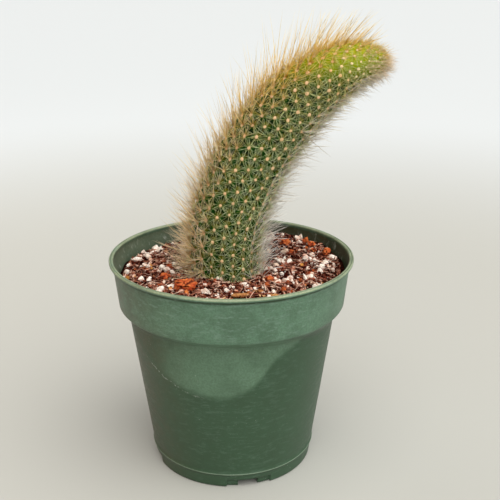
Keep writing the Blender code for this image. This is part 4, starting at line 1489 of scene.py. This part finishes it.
@dataclass
class Soil:
    """The potting mix: its uneven bed, and the chips, fibres and crumbs that lie on it."""

    pot: NurseryPot
    column: Column
    level: float = 84.6 * MM
    heap_height: float = 3.6 * MM
    heap_direction: float = math.radians(38.0)
    heap_start: float = 18.0 * MM
    heap_run: float = 26.0 * MM
    lump_height: float = 0.5 * MM
    lump_waves: tuple[float, float, float, float] = (310.0, 270.0, 170.0, 230.0)
    clearance: float = 0.4 * MM
    rings: int = 70
    columns: int = 216
    fibre_count: int = 10500
    flake_count: int = 2400
    perlite_count: int = 900
    lava_count: int = 190
    chip_count: int = 1500
    chip_middle: tuple[float, float] = (6.0 * MM, -38.0 * MM)
    chip_spread: tuple[float, float] = (26.0 * MM, 9.0 * MM)

    def __post_init__(self) -> None:
        """Keep the stones' places, so that loose chips stay clear of them."""
        self.rng = np.random.default_rng(SEED + 1)
        boxes = [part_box(node) for node in STONE_NODES]
        self.stone_places = np.array([((low + high) / 2.0)[:2] for low, high in boxes])
        self.stone_reach = np.array([0.42 * max((high - low)[:2]) for low, high in boxes])
        self.edge = self.pot.collar_radius(self.level) - self.pot.wall - self.clearance

    def height_at(self, x: np.ndarray, y: np.ndarray) -> np.ndarray:
        """Give the soil's mean height: level, heaped at the back right, with shallow lumps."""
        along = x * math.cos(self.heap_direction) + y * math.sin(self.heap_direction)
        heap = self.heap_height * smooth_step((along - self.heap_start) / self.heap_run)
        cross_x, cross_y, slant_x, slant_y = self.lump_waves
        lumps = np.sin(x * cross_x + 1.0) * np.cos(y * cross_y) + np.sin(x * slant_x - y * slant_y)
        return self.level + heap + self.lump_height * lumps

    def crumbled(self, x: np.ndarray, y: np.ndarray) -> np.ndarray:
        """Give the bed's height: the mean height less a little, with two sizes of random lumps."""
        flat = np.stack([x, y, np.zeros_like(x)], axis=-1)
        coarse = smooth_noise(flat, 3.4 * MM, 1.0)
        fine = smooth_noise(flat, 1.3 * MM, 2.0)
        return self.height_at(x, y) + (0.45 * coarse + 0.35 * fine - 0.5) * MM

    def bed(self) -> Patch:
        """Make the closed fill: a turned side inside the pot's wall and a crumbled top."""
        angle = TURN * np.arange(self.columns) / self.columns
        floor = self.pot.floor_lift + self.pot.floor_thickness + 0.3 * MM
        inset = self.pot.wall + self.clearance
        heights = np.array((7.0, 20.0, 34.0, 43.0, 48.0, 53.0, 58.0, 63.0)) * MM
        side = [(float(self.pot.body_radius(floor)) - inset, floor)]
        side += [(float(self.pot.body_radius(z)) - inset, z) for z in heights]
        side += self.pot.shoulder(inset)
        side = np.array(side)
        dent = self.pot.dent(angle, side[:, 1:]) * 1.15
        reach = side[:, :1] - np.where(side[:, :1] > 30.0 * MM, dent, 0.0)
        lower = np.stack([reach * np.cos(angle), reach * np.sin(angle),
                          side[:, 1:] + 0.0 * angle], axis=-1)
        radii = self.edge * (1.0 - np.arange(self.rings) / self.rings)[:, None]
        x, y = radii * np.cos(angle), radii * np.sin(angle)
        upper = np.stack([x, y, self.crumbled(x, y)], axis=-1)
        middle = np.array((0.0, 0.0, self.level))
        return turned_patch(np.concatenate([lower, upper]), np.array((0.0, 0.0, floor)), middle)

    def scatter(self, count: int, margin: float) -> np.ndarray:
        """Drop points evenly on the soil, clear of the wall, the column and the larger stones.

        Args:
            count: how many points are dropped before those that lie badly are left out.
            margin: distance kept to the pot's wall.

        Returns:
            The kept points' x and y.
        """
        radius = (self.edge - margin) * np.sqrt(self.rng.uniform(0.0, 1.0, count))
        angle = self.rng.uniform(0.0, TURN, count)
        places = np.stack([radius * np.cos(angle), radius * np.sin(angle)], axis=-1)
        foot = np.array((-2.6 * MM, self.column.plane))
        clear = np.linalg.norm(places - foot, axis=1) > self.column.radius - 0.4 * MM
        gaps = np.linalg.norm(places[:, None] - self.stone_places[None], axis=2)
        clear &= (gaps > self.stone_reach).all(axis=1)
        return places[clear]

    def raised(self, places: np.ndarray, lift: np.ndarray) -> np.ndarray:
        """Set points on the bed and lift them."""
        height = self.crumbled(places[:, 0], places[:, 1]) + lift
        return np.concatenate([places, height[:, None]], axis=1)

    def fibres(self) -> Patch:
        """Make coir and bark slivers: short tapered strands that lie on the bed."""
        places = self.scatter(self.fibre_count, 1.6 * MM)
        count = len(places)
        roots = self.raised(places, self.rng.uniform(0.1, 1.0, count) * MM)
        turn = self.rng.uniform(0.0, TURN, count)
        rise = self.rng.normal(0.0, 0.22, count)
        ways = np.stack([np.cos(turn) * np.cos(rise), np.sin(turn) * np.cos(rise),
                         np.sin(rise)], axis=-1)
        lengths = self.rng.gamma(3.0, 0.8 * MM, count) + 0.8 * MM
        reach = np.linalg.norm(roots[:, :2] + ways[:, :2] * lengths[:, None], axis=1)
        lengths = np.where(reach > self.edge - 0.5 * MM, 0.8 * MM, lengths)
        bends = self.rng.normal(0.0, 0.12, (count, 3)) * (1.0, 1.0, 0.5)
        radii = self.rng.uniform(0.11, 0.30, count) * MM
        shades = self.rng.uniform(0.0, 1.0, count)
        return Strands(roots, ways, bends, lengths, radii, shades).patch(2)

    def grains(self, places: np.ndarray, size: tuple[float, float],
               flatness: tuple[float, float, float], tilt: float) -> Grains:
        """Lay grains of random sizes on the bed.

        Args:
            places: x and y of each.
            size: smallest and largest width.
            flatness: length, width and thickness as shares of the size.
            tilt: how far they tip, in radians.

        Returns:
            The grains.
        """
        count = len(places)
        spread = self.rng.uniform(0.0, 1.0, count) ** 2
        width = size[0] + (size[1] - size[0]) * spread
        halves = 0.5 * width[:, None] * flatness * self.rng.uniform(0.75, 1.25, (count, 3))
        centres = self.raised(places, 0.35 * halves[:, 2] + self.rng.uniform(0.0, 0.5, count) * MM)
        return Grains(centres, halves, random_turns(count, tilt, self.rng),
                      self.rng.uniform(0.0, 1.0, count))

    def build(self) -> None:
        """Add the bed and everything loose on it."""
        add_piece("soil_bed", self.bed(), SoilFinish().material(), ("potting_mix",))
        bark_tones = ((0.0, (0.010, 0.001, 0.0005)), (0.3, (0.07, 0.011, 0.006)),
                      (0.52, (0.25, 0.064, 0.037)), (0.76, (0.54, 0.22, 0.135)),
                      (1.0, (0.98, 0.70, 0.54)))
        fibre = GrainFinish("coir_fibre", bark_tones, 1.0)
        add_piece("coir_fibres", self.fibres(), fibre.material())
        flake = GrainFinish("bark_flake", bark_tones, 0.5)
        flakes = self.grains(self.scatter(self.flake_count, 1.8 * MM), (0.8 * MM, 2.9 * MM),
                             (1.3, 0.65, 0.4), 0.8)
        add_piece("bark_flakes", flakes.patch(2, 6, 0.3, self.rng), flake.material(),
                  smooth=False)
        white = GrainFinish("perlite_crumb", ((0.0, (0.84, 0.62, 0.46)), (0.3, (0.96, 0.84, 0.72)),
                                              (1.0, (1.0, 0.95, 0.86))),
                            # pinkish painted shade under the perlite crumbs
                            0.45, below=(0.62, 0.30, 0.19))
        places = self.scatter(self.perlite_count, 1.6 * MM)
        share = np.interp(places[:, 1], np.array((-34.0, -14.0)) * MM, (0.35, 1.0))
        flat = np.concatenate([places, np.zeros((len(places), 1))], axis=1)
        share = share * blend(0.3, 1.0, smooth_step(0.5 + 0.9 * smooth_noise(flat, 7.0 * MM, 5.0)))
        places = places[self.rng.uniform(0.0, 1.0, len(places)) < share]
        crumbs = self.grains(places, (0.7 * MM, 3.4 * MM), (1.15, 0.9, 0.75), 1.2)
        add_piece("perlite_crumbs", crumbs.patch(3, 6, 0.3, self.rng), white.material(),
                  smooth=False)
        tan = GrainFinish("tan_chip", ((0.0, (0.30, 0.10, 0.04)), (0.5, (0.66, 0.34, 0.13)),
                                       (1.0, (0.86, 0.60, 0.34))), 0.7)
        places = self.scatter(self.chip_count, 2.2 * MM)
        away = np.linalg.norm((places - self.chip_middle) / self.chip_spread, axis=1)
        chips = self.grains(places[away < 1.0], (1.0 * MM, 3.6 * MM), (1.5, 0.4, 0.25), 0.5)
        add_piece("tan_chips", chips.patch(2, 6, 0.3, self.rng), tan.material(),
                  smooth=False)
        rust = GrainFinish("lava_crumb", ((0.0, (0.34, 0.05, 0.016)), (0.55, (0.56, 0.14, 0.04)),
                                          (1.0, (0.66, 0.32, 0.08))), 0.6)
        lava = self.grains(self.scatter(self.lava_count, 1.6 * MM), (1.0 * MM, 2.8 * MM),
                           (1.1, 0.9, 0.8), 1.2)
        add_piece("lava_crumbs", lava.patch(3, 6, 0.3, self.rng), rust.material(),
                  smooth=False)


class StoneKind(Enum):
    """Kinds of loose stone, with the record's slot for each."""

    LAVA = ("lava_rock", Slot.LAVA)
    PERLITE = ("perlite", Slot.PERLITE)
    BARK = ("bark_chip", Slot.BARK)
    CHARCOAL = ("charcoal", Slot.CHARCOAL)


STONE_NODES = sorted(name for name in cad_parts
                     if name.startswith(tuple(f"{kind.value[0]}_0" for kind in StoneKind)
                                        + ("lava_rock_1", "perlite_1")))


@dataclass
class Stone:
    """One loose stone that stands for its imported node, in the same place and size."""

    node: str
    slot: Slot
    material: bpy.types.Material
    lump: float
    grit: float
    pits: float
    facets: int = 16

    def patch(self) -> Patch:
        """Cut a ball by random planes, roughen it and stretch it over the node's box.

        Formula: the radius is the least of 1 and each plane's distance over the cosine to it,
        times 1 + lump * coarse noise + grit * fine noise - pits where a third noise is high.

        Returns:
            The stone's surface.
        """
        low, high = (np.array(corner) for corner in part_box(self.node))
        centre, half = 0.5 * (low + high), 0.5 * (high - low)
        large = half.max() > 4.0 * MM
        ball = unit_ball(46 if large else 22, 72 if large else 36)
        seed = float(np.abs(centre).sum() / MM)
        rng = np.random.default_rng(int(seed * 100.0))
        planes = unit(rng.normal(0.0, 1.0, (self.facets, 3)))
        cosine = np.maximum(ball.points @ planes.T, 0.05)
        cut = np.minimum((rng.uniform(0.6, 0.9, self.facets) / cosine).min(axis=1), 1.0)
        coarse = smooth_noise(ball.points, 0.8, seed)
        fine = smooth_noise(ball.points * half, 0.55 * MM, seed + 3.0)
        holes = smooth_noise(ball.points * half, 1.1 * MM, seed + 7.0)
        pit = smooth_step((holes - 0.1) / 0.25)
        push = 1.0 + self.lump * coarse + self.grit * fine - self.pits * pit
        shape = ball.points * (cut * push)[:, None]
        shape = shape / np.abs(shape).max(axis=0)
        ball.points = centre + half * shape
        # the pits, which take painted shade in the finish
        ball.marks = {"pit": self.pits * 3.0 * pit}
        return ball

    def build(self) -> None:
        """Add the stone to the scene."""
        add_piece(f"{self.node}_stone", self.patch(), self.material, (self.node,))


def stone_finish(kind: StoneKind) -> tuple[StoneFinish, float, float, float]:
    """Give a kind's finish and its lump, grit and pits."""
    if kind is StoneKind.LAVA:
        return StoneFinish("lava_rock", (0.74, 0.21, 0.055), (0.48, 0.062, 0.018),
                           (0.08, 0.008, 0.004)), 0.16, 0.16, 0.30
    if kind is StoneKind.PERLITE:
        return StoneFinish("perlite", (1.0, 0.93, 0.84), (0.92, 0.76, 0.64), (0.40, 0.20, 0.12),
                           pore_size=0.9 * MM, pore_depth=0.08 * MM), 0.14, 0.08, 0.16
    if kind is StoneKind.BARK:
        return StoneFinish("bark_chip", (0.62, 0.30, 0.10), (0.34, 0.12, 0.04),
                           (0.12, 0.035, 0.016)), 0.2, 0.10, 0.06
    return StoneFinish("charcoal", (0.035, 0.035, 0.04), (0.012, 0.012, 0.014),
                       (0.004, 0.004, 0.004), roughness=0.6), 0.3, 0.08, 0.05


@dataclass
class Stones:
    """All larger stones and chips that lie on the soil."""

    def build(self) -> None:
        """Add every stone."""
        for kind in StoneKind:
            finish, *shape = stone_finish(kind)
            material = finish.material()
            for node in STONE_NODES:
                if node.startswith(kind.value[0]):
                    Stone(node, kind.value[1], material, *shape).build()


@dataclass
class Studio:
    """Plain pale floor, soft lights and the camera at the photograph's angle."""

    focal: float = 840.93 / 500.0 * 36.0
    eye: tuple[float, float, float] = (0.0, -0.33906, 0.2133)
    pitch: float = math.radians(19.32)
    yaw: float = math.radians(1.331)
    floor_radius: float = 6.0

    def camera(self) -> None:
        """Make the camera and point it."""
        data = bpy.data.cameras.new("view")
        data.lens = self.focal
        data.sensor_width = 36.0
        data.clip_start, data.clip_end = 0.01, 50.0
        camera = bpy.data.objects.new("view", data)
        camera.location = self.eye
        aim = Vector((math.sin(self.yaw) * math.cos(self.pitch),
                      math.cos(self.yaw) * math.cos(self.pitch), -math.sin(self.pitch)))
        camera.rotation_mode = "QUATERNION"
        camera.rotation_quaternion = aim.to_track_quat("-Z", "Y")
        bpy.context.scene.collection.objects.link(camera)
        bpy.context.scene.camera = camera

    def lamp(self, name: str, place: tuple[float, float, float], size: float, power: float,
             colour: Colour) -> None:
        """Add a square soft light that faces the plant."""
        data = bpy.data.lights.new(name, "AREA")
        data.size = size
        data.energy = power
        data.color = colour
        light = bpy.data.objects.new(name, data)
        light.location = place
        aim = Vector((0.0, 0.0, 0.1)) - Vector(place)
        light.rotation_mode = "QUATERNION"
        light.rotation_quaternion = aim.to_track_quat("-Z", "Y")
        bpy.context.scene.collection.objects.link(light)

    def floor(self) -> None:
        """Add the pale floor, warm near the plant and cooler far away."""
        angle = TURN * np.arange(64) / 64
        radii = np.array((0.15, 0.3, 0.6, 1.5, 6.0))[:, None]
        grid = np.stack([radii * np.cos(angle), radii * np.sin(angle), np.zeros((5, 64))], axis=-1)
        points = np.concatenate([grid.reshape(-1, 3), [(0.0, 0.0, 0.0)]])
        quads, uv = corner_map(5, 64)
        column = np.arange(64)
        fan = np.stack([column, (column + 1) % 64, np.full(64, 320)], axis=-1)
        patch = Patch(points, [quads[:, ::-1], fan[:, [0, 1, 2]]],
                      np.concatenate([uv, np.zeros((64 * 3, 2))]))
        mesh = patch.mesh("floor")
        sheet = NodeSheet("pale_floor", 0.9)
        x, y = sheet.axis(0), sheet.axis(1)
        away = sheet.math("SQRT", sheet.math("ADD", sheet.math("MULTIPLY", x, x),
                                             sheet.math("MULTIPLY", y, y)))
        sheet.colour(sheet.mix(sheet.span(away, 0.26, 0.85), (0.50, 0.50, 0.46),
                               (0.68, 0.71, 0.72)))
        mesh.materials.append(sheet.material)
        floor = bpy.data.objects.new("floor", mesh)
        bpy.context.scene.collection.objects.link(floor)

    def world(self) -> None:
        """Light everything softly from all round."""
        world = bpy.data.worlds.new("soft_room")
        world.use_nodes = True
        tree = world.node_tree
        background = tree.nodes["Background"]
        split = tree.nodes.new("ShaderNodeSeparateXYZ")
        tree.links.new(tree.nodes.new("ShaderNodeTexCoord").outputs["Generated"], split.inputs[0])
        ramp = tree.nodes.new("ShaderNodeValToRGB")
        ramp.color_ramp.interpolation = "EASE"
        first, last = ramp.color_ramp.elements
        first.position, first.color = 0.0, (0.34, 0.28, 0.23, 1.0)
        last.position, last.color = 0.75, (0.88, 0.88, 0.88, 1.0)
        place = tree.nodes.new("ShaderNodeMath")
        place.operation = "MULTIPLY_ADD"
        place.inputs[1].default_value = place.inputs[2].default_value = 0.5
        tree.links.new(split.outputs[0], place.inputs[0])
        tree.links.new(place.outputs[0], ramp.inputs[0])
        tree.links.new(ramp.outputs[0], background.inputs["Color"])
        background.inputs["Strength"].default_value = 0.5
        bpy.context.scene.world = world
        bpy.context.scene.view_settings.view_transform = "Standard"

    def window(self) -> None:
        """Add the broad daylight from the upper right, in front of the plant."""
        data = bpy.data.lights.new("window", "SUN")
        data.angle = math.radians(85.0)
        data.energy = 3.5
        data.color = (1.0, 0.985, 0.955)
        light = bpy.data.objects.new("window", data)
        light.rotation_mode = "QUATERNION"
        light.rotation_quaternion = Vector((-0.29, 0.56, -1.0)).to_track_quat("-Z", "Y")
        bpy.context.scene.collection.objects.link(light)

    def build(self) -> None:
        """Set up camera, floor and lights."""
        self.camera()
        self.floor()
        self.world()
        self.window()
        self.lamp("warm_side", (-0.6, -0.05, 0.12), 0.4, 0.3, (1.0, 0.5, 0.22))
        self.lamp("behind", (-0.42, 0.36, 0.62), 0.4, 0.5, (1.0, 0.97, 0.93))


def main() -> None:
    """Build every piece in order."""
    logging.basicConfig(level=logging.INFO, format="%(name)s: %(message)s")
    Studio().build()
    pot = NurseryPot()
    pot.build()
    column = Column()
    add_piece("column_skin", column.skin(), SkinFinish().material(), ("cactus_stem",))
    Spines(column).build()
    Soil(pot, column).build()
    Stones().build()


if __name__ == "__main__":
    main()
